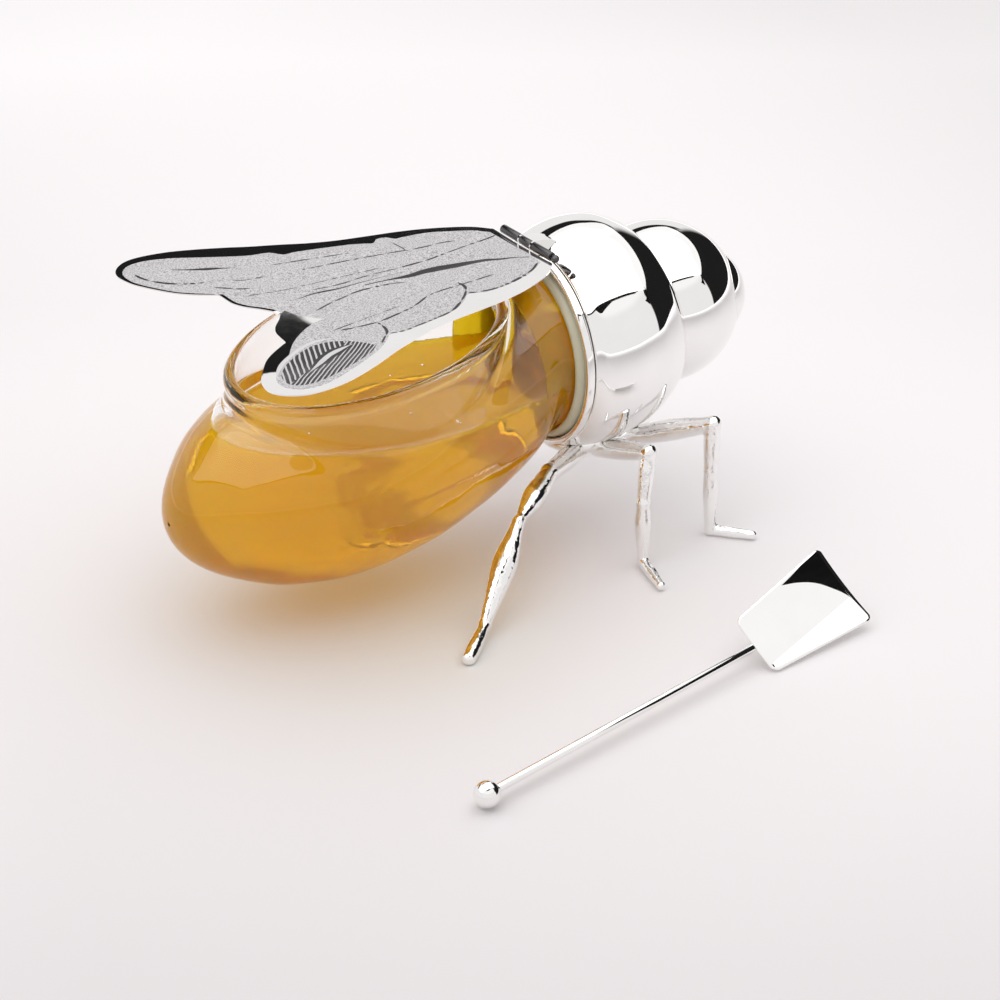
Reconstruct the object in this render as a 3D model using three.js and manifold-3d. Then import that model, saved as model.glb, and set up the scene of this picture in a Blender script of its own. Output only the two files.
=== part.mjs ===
import * as THREE from 'three';
import * as BufferGeometryUtils from 'three/addons/utils/BufferGeometryUtils.js';
import Module from 'manifold-3d';

const wasm = await Module();
wasm.setup();

// A glass honey jar in the shape of a bee. All lengths are millimetres. The pieces are drawn
// about the ring centre, the middle of the thorax's rear rim: X runs forward to the head,
// Y to the bee's left and Z up. The last group stands the whole model on its feet.

// General fits
const clearance = 0.3;
const overrun = 4;
const standHeight = 63;

// Thorax barrel
const thoraxLength = 38.4;
const thoraxRadius = 35.6;
const thoraxRise = 3.9;
const thoraxFrontTilt = THREE.MathUtils.degToRad(7);
const shellWall = 1.5;
const barrelSides = 36;

// Head ball and its eyes
const headRadius = 25.9;
const headAhead = 46.3;
const headRise = 3.9;
const headOpeningRadius = 18;
const eyeSpread = THREE.MathUtils.degToRad(25);
const eyeHeight = 2.1;
const eyeYaw = THREE.MathUtils.degToRad(28);
const eyePitch = THREE.MathUtils.degToRad(9);

// Glass neck, its seal and the lip ring round it
const neckRadius = 26.2;
const neckInsert = 6;
const sealThickness = 2.4;
const sealProud = 3;
const sealDepth = 3;
const lipWidth = 2;
const lipProud = 1.2;
const lipDepth = 1.6;
const neckPlateThickness = 1.3;

// Glass belly
const glassWall = 2.8;
const bellyLength = 127;
const bellyHalfWidth = 39;
const tailDrop = 25;
const bellySides = 36;

// Oval mouth in the belly's top
const mouthMiddle = 59.4;
const mouthHalfLength = 43.3;
const mouthHalfWidth = 36;
const rimHeight = 15.9;
const rimSlope = 0.17;
const rimWall = 3.2;
const rimBeadRadius = 2;
const collarFoot = 8;
const mouthSides = 44;

// Honey
const honeyLevel = -4;

// Hinge
const hingeBack = 2.7;
const hingeHeight = 34.7;
const knuckleRadius = 1.4;
const knuckleBore = 0.75;
const pinRadius = 0.65;
const middleKnuckleLength = 7;
const outerKnuckleLength = 9.4;
const knobRadius = 1.25;
const bracketReach = 8.5;
const bracketWidth = 6.2;
const hingeSides = 12;

// Wing lid
const lidThickness = 1.2;
const lidLength = 112.1;
const lidHalfSpan = 54.7;
const lidRise = 0.7;
const lidValley = 2.6;

// Leg hub and legs
const hubLength = 34;
const hubHalfWidth = 13;
const hubHalfHeight = 5.5;
const hubAhead = 21;
const hubDrop = 34;
const legReachLength = 62;
const legHalfWidth = 60;
const legRadius = 2.3;
const footRadius = 1.8;
const soleDepth = 0.4;
const legSides = 7;
const boltRadius = 1.5;
const boltHeadRadius = 3;
const boltHeadHeight = 1.4;
const nutRadius = 3.2;
const nutHeight = 2.4;
const nutLift = 1;

// Spoon
const spoonBallRadius = 3.9;
const spoonRodRadius = 1.25;
const spoonRodLength = 105.4;
const spoonRodLift = 1.6;
const spoonBallBack = 97.1;
const spoonBallSide = 124.1;
const spoonYaw = THREE.MathUtils.degToRad(10.4);
const bladeLength = 40.7;
const bladeNeckWidth = 18.8;
const bladeFrontWidth = 27;
const bladeThickness = 1;
const bladeCornerRadius = 2.4;
const bladeDishRadius = 103;
const bladeRoll = THREE.MathUtils.degToRad(39.3);
const bladeYaw = THREE.MathUtils.degToRad(4.5);
const bladePitch = THREE.MathUtils.degToRad(4);

const silver = { color: 0xe4e6e8, roughness: 0.08, metalness: 1 };
const darkSilver = { color: 0xc9cbd0, roughness: 0.2, metalness: 1 };
const etchedSilver = { color: 0xcbc9cb, roughness: 0.45, metalness: 0.9 };
const clearGlass = { color: 0xf4f1e6, roughness: 0.02, metalness: 0, transparent: true, opacity: 0.35 };
const honeyAmber = { color: 0xd39410, roughness: 0.1, metalness: 0, transparent: true, opacity: 0.85 };
const sealCream = { color: 0xcfc9a8, roughness: 0.5, metalness: 0 };

// Turns a closed three.js geometry into a solid that can be joined and cut.
function solid(geometry) {
  const bare = geometry.clone();
  bare.deleteAttribute('normal');
  bare.deleteAttribute('uv');
  const merged = BufferGeometryUtils.mergeVertices(bare);
  return new wasm.Manifold(new wasm.Mesh({
    numProp: 3,
    vertProperties: new Float32Array(merged.attributes.position.array),
    triVerts: new Uint32Array(merged.index.array),
  }));
}

// Turns a joined or cut solid back into a geometry.
function toGeometry(body) {
  const mesh = body.getMesh();
  const geometry = new THREE.BufferGeometry();
  geometry.setAttribute('position', new THREE.BufferAttribute(mesh.vertProperties, 3));
  geometry.setIndex(new THREE.BufferAttribute(mesh.triVerts, 1));
  return geometry;
}

// A closed mesh from points and triangles, turned so that its faces point out.
function closedGeometry(points, triangles) {
  let volume = 0;
  for (const [a, b, c] of triangles) {
    volume += points[a].dot(new THREE.Vector3().crossVectors(points[b], points[c]));
  }
  const indices = triangles.flatMap(([a, b, c]) => (volume > 0 ? [a, b, c] : [a, c, b]));
  const geometry = new THREE.BufferGeometry().setFromPoints(points);
  geometry.setIndex(indices);
  return geometry;
}

// Skins a row of rings that all have the same number of points, and closes both ends.
function loft(rings) {
  const sides = rings[0].length;
  const points = rings.flat();
  const triangles = [];
  for (let i = 0; i + 1 < rings.length; i += 1) {
    for (let j = 0; j < sides; j += 1) {
      const a = i * sides + j;
      const b = i * sides + ((j + 1) % sides);
      triangles.push([a, b, b + sides], [a, b + sides, a + sides]);
    }
  }
  const ends = [rings[0], rings[rings.length - 1]];
  ends.forEach((ring, end) => {
    const middle = points.length;
    const first = end === 0 ? 0 : (rings.length - 1) * sides;
    points.push(ring.reduce((sum, p) => sum.add(p), new THREE.Vector3()).divideScalar(sides));
    for (let j = 0; j < sides; j += 1) {
      const a = first + j;
      const b = first + ((j + 1) % sides);
      triangles.push(end === 0 ? [middle, b, a] : [middle, a, b]);
    }
  });
  return closedGeometry(points, triangles);
}

// Runs a smooth curve through rows of numbers and returns more rows along it.
function smoothRows(rows, steps) {
  const at = (i) => rows[Math.min(Math.max(i, 0), rows.length - 1)];
  const result = [];
  for (let i = 0; i + 1 < rows.length; i += 1) {
    for (let k = 0; k < steps; k += 1) {
      const t = k / steps;
      result.push(rows[i].map((value, n) => {
        const before = i > 0 ? at(i - 1)[n] : 2 * value - at(i + 1)[n];
        const next = at(i + 1)[n];
        const after = i + 2 < rows.length ? at(i + 2)[n] : 2 * next - value;
        const slopeA = (next - before) / 2;
        const slopeB = (after - value) / 2;
        const h = 1 - t;
        return value * h * h * (1 + 2 * t) + next * t * t * (3 - 2 * t)
          + slopeA * t * h * h - slopeB * t * t * h;
      }));
    }
  }
  result.push(at(rows.length - 1));
  return result;
}

function mesh(name, geometry, look) {
  const item = new THREE.Mesh(geometry, new THREE.MeshStandardMaterial(look));
  item.name = name;
  return item;
}

// A solid of revolution about the X axis from [along, radius] points that close on themselves.
function turned(profile, sides) {
  const outline = profile.map(([along, radius]) => new THREE.Vector2(radius, along));
  outline.push(outline[0].clone());
  return new THREE.LatheGeometry(outline, sides).rotateZ(-Math.PI / 2);
}

// The thorax: a barrel whose rings tip back towards its front.

// Each row is the share of the barrel's length, then the share of its greatest radius.
const barrelShares = [
  [0.05, 0.873], [0.14, 0.942], [0.29, 0.988], [0.47, 1],
  [0.68, 0.965], [0.87, 0.87], [0.965, 0.79], [1, 0.742],
];

function barrelRing(share, radius) {
  const along = share * thoraxLength;
  const tilt = thoraxFrontTilt * share * share;
  const ring = [];
  for (let j = 0; j < barrelSides; j += 1) {
    const angle = (j / barrelSides) * 2 * Math.PI;
    const up = radius * Math.cos(angle);
    ring.push(new THREE.Vector3(
      along - up * Math.sin(tilt),
      radius * Math.sin(angle),
      thoraxRise * share + up * Math.cos(tilt),
    ));
  }
  return ring;
}

// The barrel with its skin moved out by grow, from one share of its length to another.
function barrel(grow, from = null, to = null) {
  let rows = smoothRows(barrelShares, 2).map(([share, radius]) => [share, radius * thoraxRadius + grow]);
  const radiusAt = (share) => {
    const i = Math.max(1, rows.findIndex((row) => row[0] >= share));
    const [a, b] = [rows[i - 1], rows[i]];
    return a[1] + ((b[1] - a[1]) * (share - a[0])) / (b[0] - a[0]);
  };
  if (from !== null) {
    rows = [[from, radiusAt(from)], [to, radiusAt(to)]];
  }
  return loft(rows.map(([share, radius]) => barrelRing(share, radius)));
}

const headCentre = new THREE.Vector3(headAhead, 0, headRise);

function headBall(radius) {
  return new THREE.SphereGeometry(radius, barrelSides, barrelSides / 2)
    .rotateZ(-Math.PI / 2).translate(...headCentre);
}

function thoraxShell() {
  const hollowRows = barrelShares.map(([s, r]) => [s, r * thoraxRadius - shellWall]);
  const first = hollowRows[0];
  const last = hollowRows[hollowRows.length - 1];
  const openRear = [first[0] - overrun / thoraxLength, first[1]];
  const openFront = [last[0] + overrun / thoraxLength, last[1]];
  const hollow = loft([openRear, ...hollowRows, openFront].map(([s, r]) => barrelRing(s, r)));
  const shell = solid(barrel(0)).subtract(solid(hollow));
  return toGeometry(shell.subtract(solid(headBall(headRadius + clearance)))
    .subtract(solid(boltHole(boltRadius + clearance))));
}

function lipRing() {
  const inner = neckRadius + clearance + sealThickness + clearance;
  const outer = inner + lipWidth;
  const bend = lipWidth / 3;
  return turned([
    [lipDepth, inner], [-lipProud + bend, inner], [-lipProud, inner + bend],
    [-lipProud, outer - bend], [-lipProud + bend, outer], [lipDepth, outer],
  ], barrelSides);
}

function neckSeal() {
  const inner = neckRadius + clearance;
  const outer = inner + sealThickness;
  return turned([
    [sealDepth, inner], [-sealProud, inner], [-sealProud, inner + sealThickness / 4],
    [-sealProud * 0.7, inner + sealThickness * 0.7], [0, outer], [sealDepth, outer],
  ], barrelSides);
}

// The plate that closes the thorax behind the glass neck.
function neckPlate() {
  const from = (neckInsert + clearance) / thoraxLength;
  const to = from + neckPlateThickness / thoraxLength;
  return barrel(-shellWall - clearance, from, to);
}

function headShell() {
  const open = Math.PI - Math.asin(headOpeningRadius / headRadius);
  const profile = [];
  for (const [radius, steps] of [[headRadius, 11], [headRadius - shellWall, 5]]) {
    const arc = [];
    for (let i = 0; i <= steps; i += 1) {
      const angle = (open * i) / steps;
      arc.push(new THREE.Vector2(radius * Math.sin(angle), radius * Math.cos(angle)));
    }
    profile.push(...(radius === headRadius ? arc : arc.reverse()));
  }
  profile[0].x = 0;
  profile[profile.length - 1].x = 0;
  return new THREE.LatheGeometry(profile.reverse(), barrelSides)
    .rotateZ(-Math.PI / 2).translate(...headCentre);
}

// A low dome on the head ball, part of a smaller ball that comes out of the head's skin.
function eye(side) {
  const top = headRadius + eyeHeight;
  const ahead = (top * top - headRadius * headRadius) / (2 * (top - headRadius * Math.cos(eyeSpread)));
  const dome = new THREE.SphereGeometry(top - ahead, 28, 16).translate(ahead, 0, 0)
    .rotateY(-eyePitch).rotateZ(side * eyeYaw).translate(...headCentre);
  return toGeometry(solid(dome).subtract(solid(headBall(headRadius + clearance))));
}

// The glass belly. Each row is the share of the belly's length, then the half width, the
// height above its widest level and the depth below that level as shares of the greatest half
// width, then how far that level has dropped as a share of the tail's drop.
const neckShare = neckRadius / bellyHalfWidth;
const bellyShares = [
  [0, neckShare, neckShare, neckShare, 0],
  [0.035, neckShare, neckShare, neckShare, 0],
  [0.102, 0.726, 0.692, 0.83, 0.1],
  [0.252, 0.846, 0.672, 1, 0.248],
  [0.4, 0.964, 0.613, 1.038, 0.396],
  [0.504, 1, 0.59, 1.038, 0.48],
  [0.598, 0.987, 0.605, 0.992, 0.584],
  [0.748, 0.846, 0.615, 0.859, 0.72],
  [0.866, 0.628, 0.538, 0.641, 0.84],
  [0.945, 0.385, 0.372, 0.41, 0.94],
  [0.985, 0.19, 0.185, 0.2, 0.985],
  [1, 0, 0, 0, 1],
];

function bellyRing(along, width, top, bottom, drop) {
  const ring = [];
  for (let j = 0; j < bellySides; j += 1) {
    const angle = (j / bellySides) * 2 * Math.PI;
    const up = Math.cos(angle);
    ring.push(new THREE.Vector3(along, width * Math.sin(angle), up * (up > 0 ? top : bottom) - drop));
  }
  return ring;
}

// The belly's skin moved in by inset, from the front of its neck to its tail.
function belly(inset, steps) {
  const least = inset / 20 + bellyHalfWidth / 500;
  const length = bellyLength - inset;
  const rings = smoothRows(bellyShares, steps).map(([share, ...sizes]) => {
    const drop = sizes.pop() * tailDrop;
    const [width, top, bottom] = sizes.map((size) => Math.max(size * bellyHalfWidth - inset, least));
    return bellyRing(-share * length, width, top, bottom, drop);
  });
  const neck = neckRadius - inset;
  rings.unshift(bellyRing(neckInsert - inset, neck, neck, neck, 0));
  return loft(rings);
}

// One ring of the mouth's oval, moved in by inset, at the height that rise gives.
function mouthRing(inset, rise) {
  const ring = [];
  for (let j = 0; j < mouthSides; j += 1) {
    const angle = (j / mouthSides) * 2 * Math.PI;
    const x = (mouthHalfLength - inset) * Math.cos(angle);
    ring.push(new THREE.Vector3(x - mouthMiddle, (mouthHalfWidth - inset) * Math.sin(angle), rise(x)));
  }
  return ring;
}

const rimPlane = (x) => rimHeight + rimSlope * x;

// The rounded bead along the top of the rim.
function rimBead() {
  const middle = mouthRing(rimWall / 2, rimPlane);
  const sides = 6;
  const points = [];
  const triangles = [];
  middle.forEach((centre, i) => {
    const next = middle[(i + 1) % mouthSides];
    const last = middle[(i + mouthSides - 1) % mouthSides];
    const along = next.clone().sub(last).normalize();
    const out = new THREE.Vector3(along.y, -along.x, 0).normalize();
    const up = new THREE.Vector3().crossVectors(out, along);
    for (let j = 0; j < sides; j += 1) {
      const angle = (j / sides) * 2 * Math.PI;
      points.push(centre.clone()
        .addScaledVector(out, rimBeadRadius * Math.cos(angle))
        .addScaledVector(up, rimBeadRadius * Math.sin(angle)));
      const a = i * sides + j;
      const b = i * sides + ((j + 1) % sides);
      const c = (a + sides) % (mouthSides * sides);
      const d = (b + sides) % (mouthSides * sides);
      triangles.push([a, b, d], [a, d, c]);
    }
  });
  return closedGeometry(points, triangles);
}

function glassBowl() {
  const foot = () => -collarFoot;
  const below = () => -collarFoot - overrun;
  const above = (x) => rimPlane(x) + overrun * 3;
  const collar = solid(loft([mouthRing(0, foot), mouthRing(0, rimPlane)]));
  const mouth = solid(loft([mouthRing(rimWall, below), mouthRing(rimWall, above)]));
  const outside = solid(belly(0, 2)).add(collar);
  const hollowed = outside.subtract(solid(belly(glassWall, 1))).subtract(mouth);
  return toGeometry(hollowed.add(solid(rimBead())));
}

function honeyFill() {
  const spread = 2 * bellyLength;
  const cutter = new THREE.BoxGeometry(spread, spread, spread)
    .translate(0, 0, honeyLevel + spread / 2);
  return toGeometry(solid(belly(glassWall + clearance, 1)).subtract(solid(cutter)));
}

// A tube along the Y axis about the hinge line, from one side position to another.
function hingeTube(from, to, inner, outer) {
  const outline = [
    new THREE.Vector2(inner, from), new THREE.Vector2(outer, from),
    new THREE.Vector2(outer, to), new THREE.Vector2(inner, to), new THREE.Vector2(inner, from),
  ];
  return new THREE.LatheGeometry(outline, hingeSides).translate(-hingeBack, 0, hingeHeight);
}

const knuckleStart = middleKnuckleLength / 2 + clearance;
const knuckleEnd = knuckleStart + outerKnuckleLength;

function lidKnuckle(side) {
  const [from, to] = side > 0 ? [knuckleStart, knuckleEnd] : [-knuckleEnd, -knuckleStart];
  return hingeTube(from, to, knuckleBore, knuckleRadius);
}

function hingePin() {
  const end = knuckleEnd + clearance;
  return new THREE.CylinderGeometry(pinRadius, pinRadius, 2 * end, hingeSides)
    .translate(-hingeBack, 0, hingeHeight);
}

function pinKnob() {
  return new THREE.SphereGeometry(knobRadius, 10, 6)
    .translate(-hingeBack, -knuckleEnd - 2 * clearance - knobRadius, hingeHeight);
}

// The middle knuckle with the tongue that reaches forward onto the thorax.
function hingeBracket() {
  const half = middleKnuckleLength / 2;
  const low = -knuckleRadius * 3;
  const side = new THREE.Shape();
  side.moveTo(0, knuckleRadius);
  side.quadraticCurveTo(bracketReach * 0.6, knuckleRadius, bracketReach, -knuckleRadius * 0.2);
  side.lineTo(bracketReach, low);
  side.lineTo(0, low);
  side.closePath();
  const across = { depth: bracketWidth, bevelEnabled: false, curveSegments: 5 };
  const tongue = new THREE.ExtrudeGeometry(side, across)
    .rotateX(Math.PI / 2).translate(-hingeBack, bracketWidth / 2, hingeHeight);
  const knuckle = solid(hingeTube(-half, half, knuckleBore, knuckleRadius));
  const bore = new THREE.CylinderGeometry(knuckleBore, knuckleBore, middleKnuckleLength * 2, hingeSides)
    .translate(-hingeBack, 0, hingeHeight);
  return toGeometry(knuckle.add(solid(tongue)).subtract(solid(bore))
    .subtract(solid(barrel(clearance))).subtract(solid(lipRoom())));
}

// The room that the lip ring and the seal take up inside the bracket's reach.
function lipRoom() {
  const radius = neckRadius + 3 * clearance + sealThickness + lipWidth;
  const depth = lipDepth + sealProud + 2 * clearance;
  return new THREE.CylinderGeometry(radius, radius, depth, barrelSides)
    .rotateZ(Math.PI / 2).translate(lipDepth + clearance - depth / 2, 0, 0);
}

// Half of the wing lid's outline, from the front of the centre crease round the left wings to
// the rear of the crease, as shares of the lid's length and half span.
const wingShares = [
  [0, 0.3], [0.048, 0.395], [0.137, 0.49], [0.227, 0.55], [0.317, 0.586], [0.406, 0.618],
  [0.478, 0.658], [0.54, 0.709], [0.612, 0.772], [0.674, 0.841], [0.745, 0.914], [0.817, 0.973],
  [0.888, 1], [0.942, 0.987], [0.982, 0.93], [1, 0.85], [0.991, 0.75], [0.973, 0.667],
  [0.924, 0.527], [0.886, 0.453], [0.835, 0.384],
  [0.824, 0.366], [0.82, 0.3], [0.816, 0.235], [0.8, 0.17], [0.772, 0.105], [0.752, 0.045],
];
const creaseEndShare = 0.748;
const creaseShares = [0.6, 0.45, 0.3, 0.15];

// One stamped plate: both halves share the crease, which sinks towards the rear.
function wingLid() {
  const front = -hingeBack - knuckleRadius - clearance;
  const place = ([along, across]) => new THREE.Vector2(front - along * lidLength, across * lidHalfSpan);
  const rim = smoothRows(wingShares, 2).map(place);
  const crease = [creaseEndShare, ...creaseShares, 0].map((share) => place([share, 0]));
  const outline = [...rim, ...crease];
  const faces = THREE.ShapeUtils.triangulateShape(outline, []);
  const height = (p) => hingeHeight - lidRise
    - lidValley * ((front - p.x) / lidLength) * (1 - Math.abs(p.y) / lidHalfSpan);
  const points = [];
  const triangles = [];
  const layerStarts = [];
  for (const [side, rise] of [[1, 0], [1, -lidThickness], [-1, 0], [-1, -lidThickness]]) {
    layerStarts.push(points.length);
    outline.forEach((p) => points.push(new THREE.Vector3(p.x, side * p.y, height(p) + rise)));
  }
  const [topLeft, lowLeft, topRight, lowRight] = layerStarts;
  for (const [a, b, c] of faces) {
    triangles.push([topLeft + a, topLeft + c, topLeft + b], [lowLeft + a, lowLeft + b, lowLeft + c]);
    triangles.push([topRight + a, topRight + b, topRight + c], [lowRight + a, lowRight + c, lowRight + b]);
  }
  // Walls follow the outline but not the crease, where the halves meet.
  const edges = [outline.length - 1, ...rim.keys()];
  for (const a of edges) {
    const b = (a + 1) % outline.length;
    triangles.push([topLeft + a, topLeft + b, lowLeft + b], [topLeft + a, lowLeft + b, lowLeft + a]);
    triangles.push([topRight + a, lowRight + b, topRight + b], [topRight + a, lowRight + a, lowRight + b]);
  }
  return BufferGeometryUtils.mergeVertices(closedGeometry(points, triangles));
}

// The casting that carries the legs, shaped to the thorax's underside.
function hubBlank(grow) {
  return new THREE.SphereGeometry(1, 20, 10)
    .scale(hubLength / 2 + grow, hubHalfWidth + grow, hubHalfHeight + grow)
    .translate(hubAhead, 0, -hubDrop);
}

function boltHole(radius) {
  return new THREE.CylinderGeometry(radius, radius, 4 * hubHalfHeight, hingeSides)
    .rotateX(Math.PI / 2).translate(hubAhead, 0, -hubDrop);
}

function legHub() {
  const blank = solid(hubBlank(0)).subtract(solid(barrel(clearance)));
  return toGeometry(blank.subtract(solid(boltHole(boltRadius + clearance))));
}

const thoraxFloor = thoraxRise * (hubAhead / thoraxLength) - thoraxRadius;

// The screw through the hub, with its head below and its nut inside the thorax.
function hubBolt() {
  const headTop = -hubDrop - hubHalfHeight - clearance;
  const stemTop = thoraxFloor + shellWall + nutLift + nutHeight;
  const outline = [
    [0, headTop - boltHeadHeight], [boltHeadRadius * 0.7, headTop - boltHeadHeight],
    [boltHeadRadius, headTop - boltHeadHeight * 0.4], [boltHeadRadius, headTop],
    [boltRadius, headTop], [boltRadius, stemTop], [0, stemTop],
  ].map(([x, y]) => new THREE.Vector2(x, y));
  return new THREE.LatheGeometry(outline, hingeSides).rotateX(Math.PI / 2).translate(hubAhead, 0, 0);
}

function hubNut() {
  const floor = thoraxFloor + shellWall + nutLift;
  const bore = boltRadius + clearance;
  const outline = [
    [bore, floor], [nutRadius, floor],
    [nutRadius, floor + nutHeight], [bore, floor + nutHeight], [bore, floor],
  ].map(([x, y]) => new THREE.Vector2(x, y));
  return new THREE.LatheGeometry(outline, 6).rotateX(Math.PI / 2).translate(hubAhead, 0, 0);
}

// Each leg is a chain of swelling links between its hip, knee, joint, ankle and toe. The first
// two shares are of the legs' reach forward and their half width. For the hip, the knee and the
// joint the last is the drop below the hub's middle, as a share of the hub's height. For the
// ankle and the toe it is the rise above the table, as a share of the flat foot's middle line.
const jointShares = {
  front: [
    [0.5, 0.133, 0.066], [0.716, 0.56, -0.312], [0.703, 0.577, 0.22],
    [0.71, 0.583, 1.15], [0.855, 0.75, 1],
  ],
  middle: [
    [0.315, 0.133, 0.103], [0.287, 0.608, -0.269], [0.235, 0.65, 0.268],
    [0.226, 0.673, 1.15], [0.161, 0.922, 1],
  ],
  hind: [
    [0.177, 0.133, 0.066], [-0.153, 0.38, -0.082], [-0.478, 0.61, 0.072],
    [-0.816, 0.837, 3.1], [-1, 0.995, 1.1],
  ],
};

// The radii of each link at its start, its fullest place and its end, as shares of the leg
// radius, and then the share of its length where it is fullest.
const linkShares = {
  front: [
    [1.48, 1.57, 1.17, 0.45], [1.09, 1.15, 0.96, 0.4],
    [0.96, 1.1, 0.83, 0.35], [0.78, 0.8, 0.65, 0.4],
  ],
  middle: [
    [1.43, 1.48, 1.13, 0.4], [1.04, 1.13, 0.91, 0.35],
    [0.91, 1.13, 0.78, 0.35], [0.78, 0.8, 0.63, 0.4],
  ],
  hind: [
    [1.43, 1.48, 1.26, 0.4], [1.26, 1.6, 0.74, 0.45],
    [0.87, 1.7, 0.87, 0.42], [0.8, 1.02, 0.96, 0.7],
  ],
};

function legJoint(kind, i, side) {
  const [ahead, out, last] = jointShares[kind][i];
  const height = i < 3
    ? -hubDrop - last * (standHeight - hubDrop)
    : last * (footRadius - soleDepth) - standHeight;
  return new THREE.Vector3(ahead * legReachLength, side * out * legHalfWidth, height);
}

// One link, drawn up the Y axis as a closed spindle with rounded ends and then laid in place.
function legLink(start, end, shares) {
  const length = start.distanceTo(end);
  const [first, full, last] = shares.map((share) => share * legRadius);
  const place = shares[3];
  const outline = [
    [0, -first * 0.7], [first * 0.85, -first * 0.3],
    [(first + full) / 2, (length * place) / 2], [full, length * place],
    [(last + full) / 2, (length * (1 + place)) / 2],
    [last * 0.85, length + last * 0.3], [0, length + last * 0.7],
  ].map(([x, y]) => new THREE.Vector2(x, y));
  const turn = new THREE.Quaternion().setFromUnitVectors(
    new THREE.Vector3(0, 1, 0), end.clone().sub(start).normalize());
  return new THREE.LatheGeometry(outline, legSides).applyQuaternion(turn).translate(...start);
}

// A whole leg: its links joined, cut flat to stand on the table and fitted round the hub.
function leg(kind, side) {
  const joined = linkShares[kind]
    .map((shares, i) => solid(legLink(legJoint(kind, i, side), legJoint(kind, i + 1, side), shares)))
    .reduce((body, link) => body.add(link));
  const spread = bellyLength;
  const table = new THREE.BoxGeometry(spread * 2, spread * 2, spread)
    .translate(0, 0, -standHeight - spread / 2);
  return toGeometry(joined.subtract(solid(table))
    .subtract(solid(hubBlank(clearance))).subtract(solid(barrel(clearance))));
}

// The spoon is drawn along X from the middle of its ball, and laid beside the jar.
function spoonBall() {
  return new THREE.SphereGeometry(spoonBallRadius, 16, 10);
}

function spoonRod() {
  const start = spoonBallRadius + clearance;
  return new THREE.CylinderGeometry(spoonRodRadius, spoonRodRadius, spoonRodLength - start, hingeSides)
    .rotateZ(Math.PI / 2).translate((spoonRodLength + start) / 2, 0, 0);
}

// The blade: a dished sheet trimmed to a flared outline with round corners.
function spoonBlade() {
  const corners = [
    [0, -bladeNeckWidth / 2], [bladeLength, -bladeFrontWidth / 2],
    [bladeLength, bladeFrontWidth / 2], [0, bladeNeckWidth / 2],
  ].map(([x, y]) => new THREE.Vector2(x, y));
  const outline = new THREE.Shape();
  corners.forEach((corner, i) => {
    const before = corners[(i + 3) % 4].clone().sub(corner).setLength(bladeCornerRadius).add(corner);
    const after = corners[(i + 1) % 4].clone().sub(corner).setLength(bladeCornerRadius).add(corner);
    if (i === 0) {
      outline.moveTo(before.x, before.y);
    } else {
      outline.lineTo(before.x, before.y);
    }
    outline.quadraticCurveTo(corner.x, corner.y, after.x, after.y);
  });
  outline.closePath();
  const depth = bladeDishRadius / 2;
  const trim = new THREE.ExtrudeGeometry(outline, { depth, bevelEnabled: false, curveSegments: 5 })
    .translate(0, 0, -depth / 2);
  const sheet = new THREE.Shape();
  const reach = Math.asin(bladeFrontWidth / (2 * bladeDishRadius)) * 1.2;
  const low = -Math.PI / 2;
  sheet.absarc(0, bladeDishRadius, bladeDishRadius, low - reach, low + reach, false);
  sheet.absarc(0, bladeDishRadius, bladeDishRadius - bladeThickness, low + reach, low - reach, true);
  const long = bladeLength + 2 * overrun;
  const dish = new THREE.ExtrudeGeometry(sheet, { depth: long, bevelEnabled: false, curveSegments: 14 })
    .rotateX(Math.PI / 2).rotateZ(Math.PI / 2).translate(-overrun, 0, 0);
  return toGeometry(solid(trim).intersect(solid(dish)));
}

const jar = new THREE.Group();
jar.add(
  mesh('glass_bowl', glassBowl(), clearGlass),
  mesh('honey_fill', honeyFill(), honeyAmber),
  mesh('neck_seal', neckSeal(), sealCream),
  mesh('thorax_rim', lipRing(), silver),
  mesh('thorax_shell', thoraxShell(), silver),
  mesh('neck_plate', neckPlate(), silver),
  mesh('head_shell', headShell(), silver),
  mesh('eye_left', eye(1), silver),
  mesh('eye_right', eye(-1), silver),
  mesh('hinge_bracket', hingeBracket(), silver),
  mesh('hinge_pin', hingePin(), darkSilver),
  mesh('hinge_pin_knob', pinKnob(), silver),
  mesh('lid_knuckle_left', lidKnuckle(1), silver),
  mesh('lid_knuckle_right', lidKnuckle(-1), silver),
  mesh('wing_lid', wingLid(), etchedSilver),
  mesh('leg_hub', legHub(), silver),
  mesh('hub_bolt', hubBolt(), darkSilver),
  mesh('hub_nut', hubNut(), darkSilver),
);
for (const [sideName, side] of [['left', 1], ['right', -1]]) {
  for (const kind of Object.keys(jointShares)) {
    jar.add(mesh(`leg_${kind}_${sideName}`, leg(kind, side), silver));
  }
}

const blade = mesh('spoon_blade', spoonBlade(), silver);
blade.position.x = spoonRodLength + clearance;
blade.rotation.set(bladeRoll, -bladePitch, bladeYaw, 'XZY');
const spoon = new THREE.Group();
spoon.add(mesh('spoon_ball', spoonBall(), silver), mesh('spoon_rod', spoonRod(), silver), blade);
spoon.position.set(-spoonBallBack, -spoonBallSide, spoonBallRadius - standHeight);
spoon.rotation.set(0, -Math.asin(spoonRodLift / spoonRodLength), spoonYaw, 'ZYX');
jar.add(spoon);

// The model stands on the ground plane, centred over the middle of its own outline.
const model = new THREE.Group();
model.add(jar);
const extent = new THREE.Box3().setFromObject(jar, true);
jar.position.set(-(extent.min.x + extent.max.x) / 2, -(extent.min.y + extent.max.y) / 2, standHeight);

export default model;
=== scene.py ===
import bpy
import math
import numpy as np
from mathutils import Matrix, Vector
from mathutils.geometry import delaunay_2d_cdt

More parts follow.
